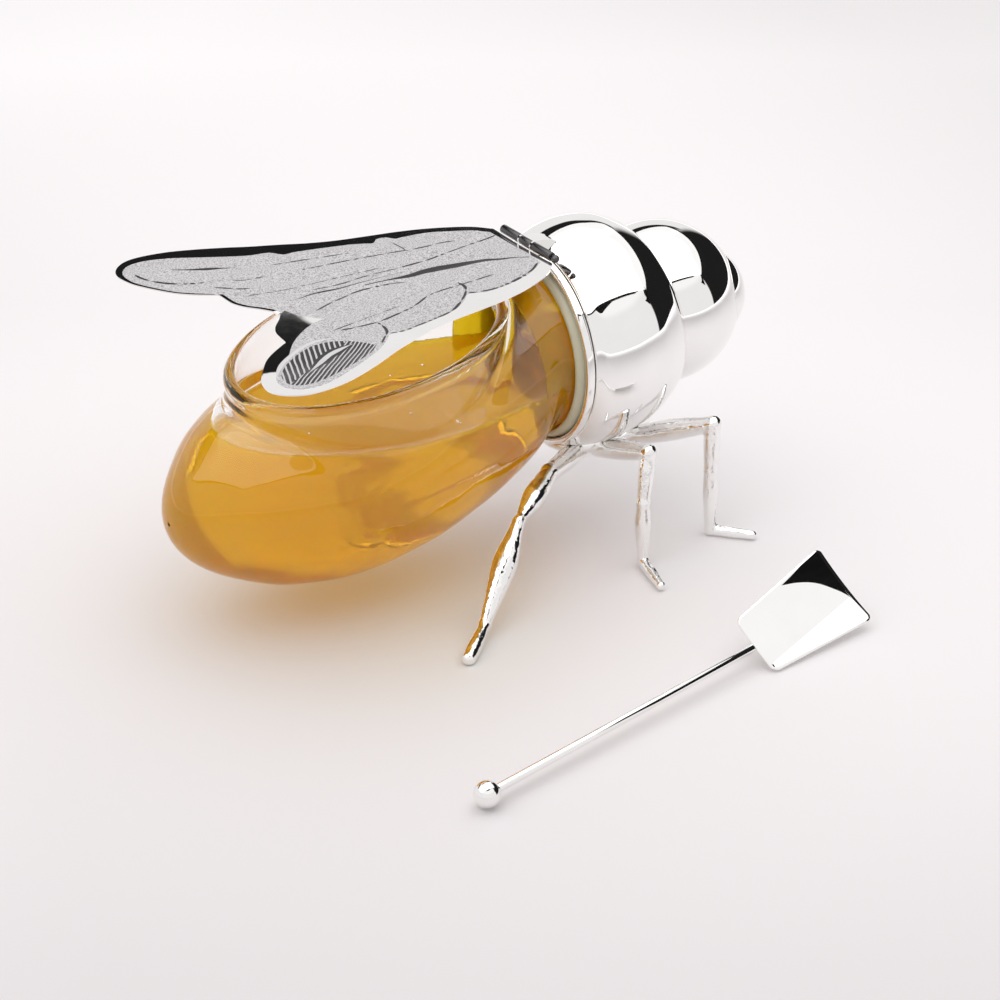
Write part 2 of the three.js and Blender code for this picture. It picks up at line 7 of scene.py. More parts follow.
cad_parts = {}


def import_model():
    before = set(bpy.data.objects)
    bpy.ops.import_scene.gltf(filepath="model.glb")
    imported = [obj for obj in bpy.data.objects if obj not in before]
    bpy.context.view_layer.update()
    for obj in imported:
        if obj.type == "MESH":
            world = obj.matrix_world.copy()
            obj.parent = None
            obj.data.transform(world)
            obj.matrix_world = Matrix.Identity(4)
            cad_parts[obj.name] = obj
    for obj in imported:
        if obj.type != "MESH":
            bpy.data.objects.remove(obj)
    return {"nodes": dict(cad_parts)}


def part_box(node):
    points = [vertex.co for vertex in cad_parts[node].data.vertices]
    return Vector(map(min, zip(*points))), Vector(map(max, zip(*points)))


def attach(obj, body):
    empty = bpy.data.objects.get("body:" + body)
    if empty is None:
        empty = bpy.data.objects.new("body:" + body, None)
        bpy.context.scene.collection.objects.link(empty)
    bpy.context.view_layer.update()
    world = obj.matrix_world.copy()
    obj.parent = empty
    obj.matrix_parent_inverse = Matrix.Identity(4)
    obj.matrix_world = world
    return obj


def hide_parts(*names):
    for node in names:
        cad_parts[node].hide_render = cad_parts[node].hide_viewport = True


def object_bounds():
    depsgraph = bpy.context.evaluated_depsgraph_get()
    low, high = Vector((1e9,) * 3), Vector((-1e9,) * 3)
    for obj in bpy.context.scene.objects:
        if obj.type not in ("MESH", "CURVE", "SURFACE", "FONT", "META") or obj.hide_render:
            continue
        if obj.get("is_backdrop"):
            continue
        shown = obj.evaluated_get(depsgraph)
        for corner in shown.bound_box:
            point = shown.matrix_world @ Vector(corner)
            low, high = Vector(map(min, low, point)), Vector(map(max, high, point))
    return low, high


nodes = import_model()["nodes"]
cad_box = [list(corner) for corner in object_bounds()]
scene = bpy.context.scene

# All lengths below are millimetres about the ring centre, the middle of the thorax's rear
# rim: X forward to the head, Y to the bee's left, Z up. place() turns them into the frame.
MM = 0.001
TAIL = 127.0
STAND = 63.0
bowl_low, bowl_high = (np.array(c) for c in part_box("glass_bowl"))
ORIGIN = np.array([bowl_low[0] + TAIL * MM, (bowl_low[1] + bowl_high[1]) / 2, STAND * MM])


def place(points):
    return np.asarray(points, float) * MM + ORIGIN


# Mesh helpers

def link_mesh(name, points, faces):
    mesh = bpy.data.meshes.new(name)
    mesh.from_pydata(points, [], faces)
    obj = bpy.data.objects.new(name, mesh)
    scene.collection.objects.link(obj)
    return obj


def new_object(name, points, faces, looks, body, replaced=(), slot=None):
    """A visible piece on a body, kept inside the box of the solids."""
    points = np.clip(place(points), *cad_box)
    obj = link_mesh(name, points.tolist(), [tuple(int(i) for i in f) for f in faces])
    mesh = obj.data
    mesh.validate()
    mesh.update()
    mesh.polygons.foreach_set("use_smooth", [True] * len(mesh.polygons))
    for look in looks if isinstance(looks, list) else [looks]:
        mesh.materials.append(look)
    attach(obj, body)
    if replaced:
        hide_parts(*replaced)
    return obj


def ring_faces(rows, sides, closed_rows=False):
    i = np.arange(rows if closed_rows else rows - 1)[:, None]
    j = np.arange(sides)[None, :]
    k = (j + 1) % sides
    n = (i + 1) % rows
    return np.stack([i * sides + j, i * sides + k, n * sides + k, n * sides + j], -1).reshape(-1, 4)


def sheet_faces(rows, sides, flip=False):
    """Faces of a thin closed sheet: two grids of points, one above the other, joined at the edge."""
    n = rows * sides
    faces = []
    for i in range(rows - 1):
        for a in range(i * sides, i * sides + sides - 1):
            faces.append([a, a + 1, a + sides + 1, a + sides])
            faces.append([a + n, a + sides + n, a + sides + 1 + n, a + 1 + n])
    edge = (list(range(sides)) + [i * sides + sides - 1 for i in range(1, rows)]
            + [(rows - 1) * sides + j for j in range(sides - 2, -1, -1)]
            + [i * sides for i in range(rows - 2, 0, -1)])
    faces += [[a, a + n, b + n, b] for a, b in zip(edge, edge[1:] + edge[:1])]
    return [[f[0]] + f[:0:-1] for f in faces] if flip else faces


def revolve_x(profile, sides=160, centre=(0, 0, 0), closed=True, warp=None):
    """Turns [along, radius] rows about the X axis. A closed profile makes a ring-shaped solid."""
    profile = np.asarray(profile, float)
    angle = np.linspace(0, 2 * math.pi, sides, endpoint=False)
    x = np.repeat(profile[:, 0:1], sides, 1)
    r = profile[:, 1:2]
    points = np.stack([x, r * np.sin(angle), r * np.cos(angle)], -1).reshape(-1, 3)
    if warp:
        points = warp(points)
    faces = ring_faces(len(profile), sides, closed).tolist()
    if not closed:
        faces.insert(0, list(range(sides))[::-1])
        faces.append(list(range((len(profile) - 1) * sides, len(profile) * sides)))
    return points + np.asarray(centre, float), faces


def spline(rows, steps):
    """Smooth rows of numbers through the given ones."""
    rows = np.asarray(rows, float)
    first = 2 * rows[0] - rows[1]
    last = 2 * rows[-1] - rows[-2]
    padded = np.vstack([first, rows, last])
    out = []
    t = np.linspace(0, 1, steps, endpoint=False)[:, None]
    for a, b, c, d in zip(padded[:-3], padded[1:-2], padded[2:-1], padded[3:]):
        m0, m1 = (c - a) / 2, (d - b) / 2
        out.append((2 * t ** 3 - 3 * t ** 2 + 1) * b + (t ** 3 - 2 * t ** 2 + t) * m0
                   + (3 * t ** 2 - 2 * t ** 3) * c + (t ** 3 - t ** 2) * m1)
    out.append(rows[-1:])
    return np.vstack(out)


def pchip(x, y):
    """A monotone cubic through points with rising x."""
    x, y = np.asarray(x, float), np.asarray(y, float)
    h = np.diff(x)
    d = np.diff(y) / h
    m = np.zeros_like(y)
    same = d[:-1] * d[1:] > 0
    w1, w2 = 2 * h[1:] + h[:-1], h[1:] + 2 * h[:-1]
    with np.errstate(divide="ignore", invalid="ignore"):
        inner = (w1 + w2) / (w1 / d[:-1] + w2 / d[1:])
    m[1:-1] = np.where(same, inner, 0)
    m[0], m[-1] = d[0], d[-1]

    def value(q):
        q = np.clip(q, x[0], x[-1])
        i = np.clip(np.searchsorted(x, q) - 1, 0, len(h) - 1)
        t = (q - x[i]) / h[i]
        return ((2 * t ** 3 - 3 * t ** 2 + 1) * y[i] + (t ** 3 - 2 * t ** 2 + t) * h[i] * m[i]
                + (3 * t ** 2 - 2 * t ** 3) * y[i + 1] + (t ** 3 - t ** 2) * h[i] * m[i + 1])
    return value


def skin(field, low, high, step, settle=3):
    """Quads on the surface where field is zero. field takes an array of points."""
    low, high = np.asarray(low, float), np.asarray(high, float)
    count = np.ceil((high - low) / step).astype(int) + 1
    axes = [low[a] + step * np.arange(count[a]) for a in range(3)]
    value = np.empty(count)
    for i, x in enumerate(axes[0]):
        y, z = np.meshgrid(axes[1], axes[2], indexing="ij")
        value[i] = field(np.stack([np.full_like(y, x), y, z], -1))
    inside = value < 0
    total = np.zeros(tuple(count - 1) + (3,))
    hits = np.zeros(tuple(count - 1))
    grid = np.stack(np.meshgrid(*[np.arange(c - 1) for c in count], indexing="ij"), -1)
    for axis in range(3):
        others = [a for a in range(3) if a != axis]
        for p in (0, 1):
            for q in (0, 1):
                start = [0, 0, 0]
                start[others[0]], start[others[1]] = p, q
                end = list(start)
                end[axis] = 1
                a = value[tuple(slice(s, s + c - 1) for s, c in zip(start, count))]
                b = value[tuple(slice(s, s + c - 1) for s, c in zip(end, count))]
                cross = (a < 0) != (b < 0)
                share = np.where(cross, a / np.where(cross, a - b, 1), 0)
                point = np.array(start, float) + np.zeros(a.shape + (3,))
                point[..., axis] = share
                total += np.where(cross[..., None], point, 0)
                hits += cross
    cells = hits > 0
    index = np.full(cells.shape, -1)
    index[cells] = np.arange(cells.sum())
    points = low + step * (grid[cells] + total[cells] / hits[cells][:, None])
    faces = []
    for axis in range(3):
        u, v = [a for a in range(3) if a != axis]
        a = [slice(None)] * 3
        b = [slice(None)] * 3
        a[axis], b[axis] = slice(0, -1), slice(1, None)
        change = inside[tuple(a)] != inside[tuple(b)]
        core = [slice(None)] * 3
        core[u], core[v] = slice(1, -1), slice(1, -1)
        where = np.argwhere(change[tuple(core)])
        where[:, [u, v]] += 1
        first = inside[tuple(a)][tuple(where.T)]
        ids = []
        for du, dv in ((-1, -1), (0, -1), (0, 0), (-1, 0)):
            cell = where.copy()
            cell[:, [u, v]] += (du, dv)
            ids.append(index[tuple(cell.T)])
        quad = np.stack(ids, -1)
        flip = first if axis != 1 else ~first
        quad[~flip] = quad[~flip][:, ::-1]
        faces.append(quad)
    eps = step * 0.02
    for _ in range(settle):
        f = field(points)
        grad = np.stack([(field(points + eps * e) - field(points - eps * e)) / (2 * eps)
                         for e in np.eye(3)], -1)
        size = np.maximum((grad ** 2).sum(-1), 0.05)
        move = -f[:, None] * grad / size[:, None]
        length = np.linalg.norm(move, axis=-1, keepdims=True)
        points += move * np.minimum(1, 0.6 * step / np.maximum(length, 1e-9))
    return points, np.vstack(faces)


def turn(axis, angle):
    c, s = math.cos(angle), math.sin(angle)
    return {"x": np.array([[1, 0, 0], [0, c, -s], [0, s, c]]),
            "y": np.array([[c, 0, s], [0, 1, 0], [-s, 0, c]]),
            "z": np.array([[c, -s, 0], [s, c, 0], [0, 0, 1]])}[axis]


def arc(radius, angles, pole=0.01):
    """[along, radius] rows of a ball; a point on the axis keeps the pole's radius."""
    return [(radius * math.cos(a), max(radius * math.sin(a), pole)) for a in angles]


def rounded(corners, radius, steps=5):
    """A closed outline with each corner rounded."""
    corners = [np.array(c, float) for c in corners]
    out = []
    for i, c in enumerate(corners):
        a, b = corners[i - 1] - c, corners[(i + 1) % len(corners)] - c
        r = min(radius, np.linalg.norm(a) * 0.45, np.linalg.norm(b) * 0.45)
        p, q = c + a / np.linalg.norm(a) * r, c + b / np.linalg.norm(b) * r
        for t in np.linspace(0, 1, steps):
            out.append((1 - t) ** 2 * p + 2 * t * (1 - t) * c + t * t * q)
    return out


def blend_in(a, b, radius):
    """The union of two fields with a fillet."""
    h = np.clip(0.5 + 0.5 * (b - a) / radius, 0, 1)
    return b + (a - b) * h - radius * h * (1 - h)


def blend_cut(a, b, radius):
    """The common part of two fields with a rounded edge."""
    return -blend_in(-a, -b, radius)


# Materials

def material(name, values):
    mat = bpy.data.materials.new(name)
    mat.use_nodes = True
    tree = mat.node_tree
    shader = tree.nodes["Principled BSDF"]
    for key, value in values.items():
        shader.inputs[key].default_value = value
    return mat, tree, shader


def add(tree, kind, **values):
    """A new node; each value is a property of it or, if it has none of that name, an input."""
    node = tree.nodes.new(kind)
    for key, value in values.items():
        if hasattr(node, key):
            setattr(node, key, value)
        else:
            node.inputs[key].default_value = value
    return node


def maths(tree):
    """A function that adds a Math node for sockets or numbers and gives its output."""
    def calc(operation, *values):
        node = add(tree, "ShaderNodeMath", operation=operation)
        for socket, value in zip(node.inputs, values):
            if isinstance(value, (int, float)):
                socket.default_value = value
            else:
                tree.links.new(value, socket)
        return node.outputs[0]
    return calc


def axes(tree, kind):
    """The X, Y and Z outputs of one kind of texture coordinates."""
    texture = add(tree, "ShaderNodeTexCoord")
    split = add(tree, "ShaderNodeSeparateXYZ")
    tree.links.new(texture.outputs[kind], split.inputs[0])
    return split.outputs


def noise(tree, scale, detail=3.0, stretch=(1, 1, 1), rough=0.5):
    texture = add(tree, "ShaderNodeTexCoord")
    mapping = add(tree, "ShaderNodeMapping", Scale=stretch)
    node = add(tree, "ShaderNodeTexNoise", Scale=scale, Detail=detail, Roughness=rough)
    tree.links.new(texture.outputs["Object"], mapping.inputs["Vector"])
    tree.links.new(mapping.outputs["Vector"], node.inputs["Vector"])
    return node.outputs["Fac"]


def grey(value):
    return (value, value, value)


def ramp(tree, source, stops):
    node = add(tree, "ShaderNodeValToRGB")
    elements = node.color_ramp.elements
    while len(elements) < len(stops):
        elements.new(0.5)
    for element, (position, colour) in zip(elements, stops):
        element.position = position
        element.color = tuple(colour) + (1,)
    tree.links.new(source, node.inputs["Fac"])
    return node.outputs["Color"]


def drive(tree, shader, socket, source, stops):
    """Lets a ramp over the source drive one socket of the shader."""
    tree.links.new(ramp(tree, source, stops), shader.inputs[socket])


def bump(tree, shader, height, strength, distance):
    node = add(tree, "ShaderNodeBump", Strength=strength, Distance=distance)
    tree.links.new(height, node.inputs["Height"])
    tree.links.new(node.outputs["Normal"], shader.inputs["Normal"])


def mix_shaders(tree, share, first, second):
    mix = add(tree, "ShaderNodeMixShader")
    for source, socket in zip((share, first, second), mix.inputs):
        tree.links.new(source, socket)
    return mix.outputs[0]


def polished(name, tone=(0.93, 0.925, 0.915), low=0.02, high=0.05, wave=0.02, grain=60):
    """Mirror-bright silver plate with faint polishing marks."""
    mat, tree, shader = material(name, {"Metallic": 1})
    dark = tuple(c * 0.97 for c in tone)
    drive(tree, shader, "Base Color", noise(tree, 90, 4), [(0.35, dark), (0.7, tone)])
    marks = noise(tree, 240, 5, (1, 1, 7), 0.65)
    drive(tree, shader, "Roughness", marks, [(0.3, grey(low)), (0.75, grey(high))])
    bump(tree, shader, noise(tree, grain, 2), wave, 0.0004)
    return mat


silver = polished("polished_silver")
cast_silver = polished("cast_silver", wave=0.9, grain=330)
dark_silver = polished("pin_metal", (0.8, 0.8, 0.79), 0.08, 0.16)
blade_silver = polished("blade_silver", low=0.004, high=0.012, wave=0.004)


def let_light_through(tree, shader, tint):
    """Shadow rays pass the clear piece with a tint, so it lights the paper through itself."""
    clear = add(tree, "ShaderNodeBsdfTransparent", Color=tuple(tint) + (1,))
    path = add(tree, "ShaderNodeLightPath")
    mixed = mix_shaders(tree, path.outputs["Is Shadow Ray"], shader.outputs[0], clear.outputs[0])
    tree.links.new(mixed, tree.nodes["Material Output"].inputs["Surface"])


def make_glass():
    mat, tree, shader = material("clear_glass", {"Transmission Weight": 1, "IOR": 1.45, "Roughness": 0,
                                                 "Specular IOR Level": 0.1})
    drive(tree, shader, "Base Color", noise(tree, 18, 2),
          [(0.3, (0.985, 0.985, 0.975)), (0.7, (1, 1, 0.995))])
    bump(tree, shader, noise(tree, 28, 2), 0.03, 0.0006)
    let_light_through(tree, shader, (0.955, 0.955, 0.945))
    return mat


def make_honey():
    mat, tree, shader = material("honey", {
        "Transmission Weight": 0.66, "IOR": 1.25, "Roughness": 0, "Specular IOR Level": 0.05,
        "Subsurface Weight": 1, "Subsurface Radius": (1, 0.6, 0.1), "Subsurface Scale": 0.02})
    drive(tree, shader, "Base Color", noise(tree, 26, 3),
          [(0.3, (0.93, 0.56, 0.012)), (0.7, (0.98, 0.62, 0.02))])
    volume = add(tree, "ShaderNodeVolumeAbsorption", Color=(0.97, 0.86, 0.05, 1), Density=40)
    tree.links.new(volume.outputs["Volume"], tree.nodes["Material Output"].inputs["Volume"])
    let_light_through(tree, shader, (0.95, 0.71, 0.1))
    return mat


def make_seal():
    mat, tree, shader = material("seal_cream", {"Roughness": 0.35})
    drive(tree, shader, "Base Color", noise(tree, 60, 3),
          [(0.3, (0.55, 0.52, 0.38)), (0.7, (0.66, 0.63, 0.48))])
    bump(tree, shader, noise(tree, 500, 2), 0.1, 0.0001)
    return mat


def make_etched():
    """Finely etched plate: a matt grain of tiny pits."""
    mat, tree, shader = material("etched_silver", {"Metallic": 1})
    grain = noise(tree, 2400, 2)
    drive(tree, shader, "Base Color", grain, [(0.34, (0.36, 0.35, 0.36)), (0.47, (0.55, 0.54, 0.548)),
                                              (0.62, (0.66, 0.65, 0.658))])
    drive(tree, shader, "Roughness", grain, [(0.3, grey(0.95)), (0.7, grey(0.8))])
    bump(tree, shader, grain, 0.35, 0.0001)
    return mat


glass = make_glass()
honey = make_honey()
seal_cream = make_seal()
etched = make_etched()

# Thorax

THORAX_LENGTH = 38.4
THORAX_RADIUS = 35.6
THORAX_RISE = 3.9
FRONT_TILT = math.radians(7)
WALL = 1.5
# Round pieces are drawn this much smaller than their named radius.
TRIM = 0.03
# Along the barrel: share of its length, share of its radius.
SHARES = [(0.05, 0.873), (0.14, 0.942), (0.29, 0.988), (0.47, 1), (0.68, 0.965),
          (0.87, 0.87), (0.965, 0.79), (1, 0.742)]


def tilt_back(points):
    """Tips the barrel's rings back towards the front and lifts its axis."""
    share = points[:, 0] / THORAX_LENGTH
    tilt = FRONT_TILT * np.sign(share) * share ** 2
    up = points[:, 2].copy()
    out = points.copy()
    out[:, 0] = points[:, 0] - up * np.sin(tilt)
    out[:, 2] = THORAX_RISE * share + up * np.cos(tilt)
    return out


def thorax_shell():
    rows = spline(SHARES, 10)
    outer = [(s * THORAX_LENGTH, r * THORAX_RADIUS - TRIM) for s, r in rows]
    x, r = outer[-1]
    edge = [(x + 0.25, r - 0.3), (x + 0.35, r - 0.7), (x + 0.2, r - 1.1)]
    inner = [(s * THORAX_LENGTH, q * THORAX_RADIUS - WALL) for s, q in rows[::-1]]
    points, faces = revolve_x(outer + edge + inner, 192, warp=tilt_back)
    new_object("thorax_body", points, faces, silver, "jar", ("thorax_shell",))


thorax_shell()

# Lip ring and neck seal

NECK = 26.2
GAP = 0.3
SEAL = 2.4
LIP_IN = NECK + GAP + SEAL + GAP
LIP_OUT = LIP_IN + 2


lip = rounded([(1.6, LIP_IN), (-1.2, LIP_IN), (-1.2, LIP_OUT - TRIM), (1.6, LIP_OUT - TRIM)], 0.9)
new_object("lip_ring", *revolve_x(lip, 192), silver, "jar", ("thorax_rim",))
SEAL_IN, SEAL_OUT = NECK + GAP, NECK + GAP + SEAL - TRIM
seal = rounded([(3, SEAL_IN), (-3, SEAL_IN), (-2.95, SEAL_IN + 0.9), (-2, SEAL_IN + 1.7),
                (0, SEAL_OUT), (3, SEAL_OUT)], 0.8)
new_object("seal_ring", *revolve_x(seal, 192), seal_cream, "jar", ("neck_seal",))

# Head and eyes

HEAD = np.array([46.3, 0, 3.9])
HEAD_RADIUS = 25.9
HEAD_OPENING = 18


def head_ball():
    open_at = math.pi - math.asin(HEAD_OPENING / HEAD_RADIUS)
    angle = np.linspace(0, open_at, 90)
    outer = arc(HEAD_RADIUS, angle)
    inner = arc(HEAD_RADIUS - WALL, angle[::-3])
    inner[-1] = (HEAD_RADIUS - WALL, 0.01)
    points, faces = revolve_x(outer + inner, 160, HEAD, closed=False)
    new_object("head_ball", points, faces, silver, "jar", ("head_shell",))


head_ball()

EYE_SPREAD = math.radians(25)
EYE_RISE = 2.1
EYE_YAW = math.radians(28)
EYE_PITCH = math.radians(9)


def eye(side, name, node):
    top = HEAD_RADIUS + EYE_RISE
    ahead = (top ** 2 - HEAD_RADIUS ** 2) / (2 * (top - HEAD_RADIUS * math.cos(EYE_SPREAD)))
    radius = top - ahead
    reach = math.acos((HEAD_RADIUS * math.cos(EYE_SPREAD) - ahead) / radius)
    rows = [(ahead + x, r) for x, r in arc(radius, np.linspace(0, reach, 40))]
    points, faces = revolve_x(rows, 120, closed=False)
    points = points @ (turn("z", side * EYE_YAW) @ turn("y", -EYE_PITCH)).T
    new_object(name, points + HEAD, faces, silver, "jar", (node,))


eye(1, "eye_dome_left", "eye_left")
eye(-1, "eye_dome_right", "eye_right")

# Glass bowl and honey

GLASS = 2.8
# The belly: share of length, half width, height above, depth below, drop of the widest level.
BELLY = np.array([
    [-0.05, 26.2, 26.2, 26.2, 0], [0, 26.2, 26.2, 26.2, 0], [0.035, 26.2, 26.2, 26.2, 0],
    [0.102, 28.3, 27, 32.4, 2.5],
    [0.252, 33, 26.2, 39, 6.2], [0.4, 37.6, 23.9, 40.5, 9.9], [0.504, 39, 23, 40.5, 12],
    [0.598, 38.5, 23.6, 38.7, 14.6], [0.748, 33, 24, 33.5, 18], [0.866, 24.5, 21, 25, 21],
    [0.945, 15, 14.5, 16, 23.5], [1, 0.01, 0.01, 0.01, 25]])
NECK_END = 6
belly_squares = [pchip(BELLY[:, 0], BELLY[:, c] ** 2) for c in (1, 2, 3)]
belly_drop = pchip(BELLY[:, 0], BELLY[:, 4])


def belly(points, inset):
    """How far points lie outside the belly's surface, when that is moved inwards by the inset."""
    share = -points[..., 0] / (TAIL - inset)
    w, up, down = [np.maximum(np.sqrt(np.maximum(q(share), 0)) - inset, 1e-3) for q in belly_squares]
    w, up, down = [np.where(share < 1, v, 1e-3) for v in (w, up, down)]
    dz = points[..., 2] + belly_drop(share)
    h = np.where(dz > 0, up, down)
    k = np.clip(w / h, 0.5, 2)
    f = np.sqrt(points[..., 1] ** 2 + (dz * k) ** 2 + 1e-6) - w
    end = points[..., 0] - (NECK_END - inset)
    return blend_cut(f, end, 1.5) if inset == 0 else np.maximum(f, end)


# The mouth: the middle of its oval, half its length and half its width.
MOUTH_X, MOUTH_A, MOUTH_B = -59.4, 43.3, 36.0
RIM_WALL = 3.2
RIM_HEIGHT, RIM_SLOPE = 15.9, 0.17
BEAD_RADIUS = 1.9
COLLAR_FOOT, MOUTH_FOOT = -14, -12


def oval(points, inset):
    x, y = points[..., 0] - MOUTH_X, points[..., 1]
    a, b = MOUTH_A - inset, MOUTH_B - inset
    s = np.sqrt((x / a) ** 2 + (y / b) ** 2) + 1e-9
    slope = np.sqrt((x / a ** 2) ** 2 + (y / b ** 2) ** 2) / s + 1e-9
    return (s - 1) / slope


def bowl_field(points):
    z = points[..., 2]
    rise = z - (RIM_HEIGHT + RIM_SLOPE * (points[..., 0] - MOUTH_X))
    collar = np.maximum(np.maximum(oval(points, 0), rise), COLLAR_FOOT - z)
    bead = np.hypot(oval(points, RIM_WALL / 2), rise) - BEAD_RADIUS
    outside = blend_in(belly(points, 0), blend_in(collar, bead, 1.2), 4.5)
    mouth = np.maximum(oval(points, RIM_WALL), MOUTH_FOOT - z)
    hollow = blend_in(belly(points, GLASS), mouth, 2.0)
    return blend_cut(outside, -hollow, 0.8)


points, faces = skin(bowl_field, (-128.5, -41, -55), (8, 41, 29), 0.95)
new_object("glass_abdomen", points, faces, glass, "jar", ("glass_bowl",))

HONEY_LEVEL = -4.0
CREEP = 1.3


def honey_field(points):
    body = belly(points, GLASS - 0.2)
    creep = CREEP * np.exp(np.clip(belly(points, GLASS), -20, 0) / CREEP)
    return blend_cut(body, points[..., 2] - HONEY_LEVEL - creep, 0.25)


points, faces = skin(honey_field, (-126, -39, -53), (5, 39, 1.5), 1.1)
new_object("honey_body", points, faces, honey, "jar", ("honey_fill",))

FILM_BACK, FILM_FRONT = -13.5, 4.5


def neck_film():
    """Honey that clings to the inside of the neck above its level, thinning out upwards."""
    rows, sides = 26, 150
    x = np.linspace(FILM_BACK, FILM_FRONT, rows)[:, None]
    angle = np.linspace(math.radians(-18), math.radians(198), sides)[None, :]
    share = -x / (TAIL - GLASS)
    half, up, down = [np.sqrt(square(share)) - GLASS for square in belly_squares]
    ripple = 0.5 + 0.28 * np.sin(angle * 7 + x * 0.35) + 0.2 * np.sin(angle * 17 - x * 0.8)
    thin = np.clip((x - FILM_BACK) / 5, 0, 1) * np.clip((FILM_FRONT - x) / 1.5, 0, 1)
    depth = 0.02 + (0.35 + 0.3 * ripple) * thin
    height = np.where(np.sin(angle) > 0, up, down)
    points = [np.stack([x + 0 * angle, (half - inward) * np.cos(angle),
                        (height - inward) * np.sin(angle) - belly_drop(share)], -1).reshape(-1, 3)
              for inward in (np.full_like(depth, -0.15), depth)]
    new_object("neck_film", np.vstack(points), sheet_faces(rows, sides), honey, "jar", slot="honey")


neck_film()

BUBBLES = 34


def bubbles():
    """Tiny air bubbles caught where the honey meets the glass, and a few under its surface."""
    rng = np.random.default_rng(5)
    unit, unit_faces = revolve_x(arc(1, np.linspace(math.pi, 0, 9), 0.004), 14, closed=False)
    points, faces = [], []
    for i in range(BUBBLES):
        x = rng.uniform(-102, -30)
        side = -1 if rng.random() < 0.75 else 1
        share = -x / (TAIL - GLASS)
        wide, up = [math.sqrt(square(share)) - GLASS for square in belly_squares[:2]]
        rise = HONEY_LEVEL + belly_drop(share)
        reach = wide * math.sqrt(max(1 - (rise / up) ** 2, 0.02))
        radius = rng.uniform(0.2, 0.55)
        if i % 4:
            centre = (x, side * (reach - radius - 0.5), HONEY_LEVEL - 0.2)
        else:
            centre = (x, side * reach * rng.uniform(0.2, 0.85), HONEY_LEVEL - 0.1)
        faces += [[k + len(points) * len(unit) for k in f] for f in unit_faces]
        points.append(unit * radius + centre)
    new_object("honey_bubbles", np.vstack(points), faces, glass, "jar", slot="honey")


bubbles()

# The camera, fitted to the photo: where it is, how it is turned, its lens and the square picture.

CAMERA_AT = np.array([-419.6, -627.82, 347.67])
CAMERA_YAW, CAMERA_PITCH = math.radians(32.96), math.radians(28.0)
CAMERA_FACING = turn("z", -CAMERA_YAW) @ turn("x", math.pi / 2 - CAMERA_PITCH)
CAMERA_LENS, SENSOR = 97.2, 36
PHOTO_SIDE = 1000

# Wing lid

HINGE_X, HINGE_Z = -2.7, 34.7
WING_TOP = 34.0
WING_THICK = 1.15
EDGE_THICK = 0.4
VALLEY = 2.6
LID_BACK, LID_LENGTH, LID_HALF_SPAN = -4.4, 112.1, 54.7
# The level part of the right hind lobe lies behind the first value and inside the second.
LOBE_FRONT, LOBE_SIDE = -72, 43
WING = [
    (-4.45, 0), (-4.45, 16.2), (-9.8, 21.6), (-19.8, 26.8), (-29.8, 30.1), (-39.9, 32.1), (-49.9, 33.8),
    (-58, 36), (-65, 38.8), (-73, 42.2), (-80, 46), (-87.9, 50), (-96, 53.2), (-104, 54.6),
    (-110, 54), (-114.4, 50.9), (-116.4, 46.5), (-115.5, 41), (-113.4, 36.5), (-108, 28.8),
    (-103.8, 24.8), (-98.2, 21), (-96.8, 20), (-96.4, 16.4), (-95.9, 12.9), (-94.1, 9.3),
    (-91, 5.7), (-88.7, 2.5), (-88.3, 0)]
# The etched fields: the middle one crosses the crease and fills the left wing, the other fills
# the right forewing. The rest of the plate stays polished.
LEFT_FIELD = [
    (-6.6, 14.6), (-10.4, 18.6), (-15.9, 21.6), (-21.3, 24.2), (-25.9, 25.4), (-31.1, 26),
    (-33.4, 26.2), (-35.4, 28.6), (-38.2, 29), (-40.6, 27), (-43, 28), (-47, 29.8), (-51.4, 31),
    (-57.6, 32.6), (-64.1, 34), (-67.6, 34.2), (-70.6, 37.6), (-76, 38.8), (-80.8, 40.8),
    (-87.5, 44.2), (-94.4, 47.8), (-100.4, 50.4), (-106.6, 51.6), (-111.6, 50.4), (-114.6, 46.4),
    (-114.4, 41), (-112.4, 36.6), (-107.4, 29.2), (-103.2, 25.2), (-98.6, 21.8), (-96.9, 20.2),
    (-95.6, 19.6), (-95.3, 16.2), (-94.8, 12.9), (-93, 9.4), (-90, 6), (-87.6, 2.6), (-86.6, -1),
    (-85.6, -4.4), (-84.4, -7), (-82.4, -9.4), (-79, -12.6), (-72, -13.2), (-56, -13.6), (-44, -13.6),
    (-30, -12.8), (-17, -12.6), (-6.6, -12.4)]
RIGHT_FIELD = [
    (-7, -13.4), (-11.1, -16.6), (-14.4, -18.6), (-18.4, -20.2), (-23, -21.6), (-28, -22.4),
    (-32.6, -22.2), (-36.6, -20.6), (-39.8, -23.6), (-43.2, -26.4), (-47.2, -28.8), (-54.3, -30.8),
    (-61.9, -32.4), (-66, -32.9), (-69.9, -32.3), (-72.4, -34.6), (-76.4, -38.4), (-83.1, -42.8),
    (-92.2, -47.6), (-100, -51), (-105.4, -51.6), (-109.6, -50.2), (-111.8, -46.8), (-111.6, -42.2),
    (-109.4, -37.8), (-105.8, -33.8), (-101.6, -29.8), (-99, -26.4), (-95.6, -22), (-91.4, -18),
    (-87, -14.8), (-82.4, -12.6), (-76.4, -11.9), (-66, -12.1), (-56.2, -12.6), (-44, -12.6),
    (-30, -12), (-17, -11.7), (-7, -11.8)]
HATCH_FIELD = [
    (-77, -36.4), (-78.6, -33), (-81.4, -29.6), (-85.4, -27), (-90.6, -26.2), (-95.4, -27.6),
    (-100, -30.2), (-104.2, -33.4), (-107.6, -37.4), (-109.6, -41.8), (-109.6, -46), (-106.6, -48.6),
    (-101.6, -48.6), (-95, -46.6), (-87.4, -43.4), (-81, -40)]


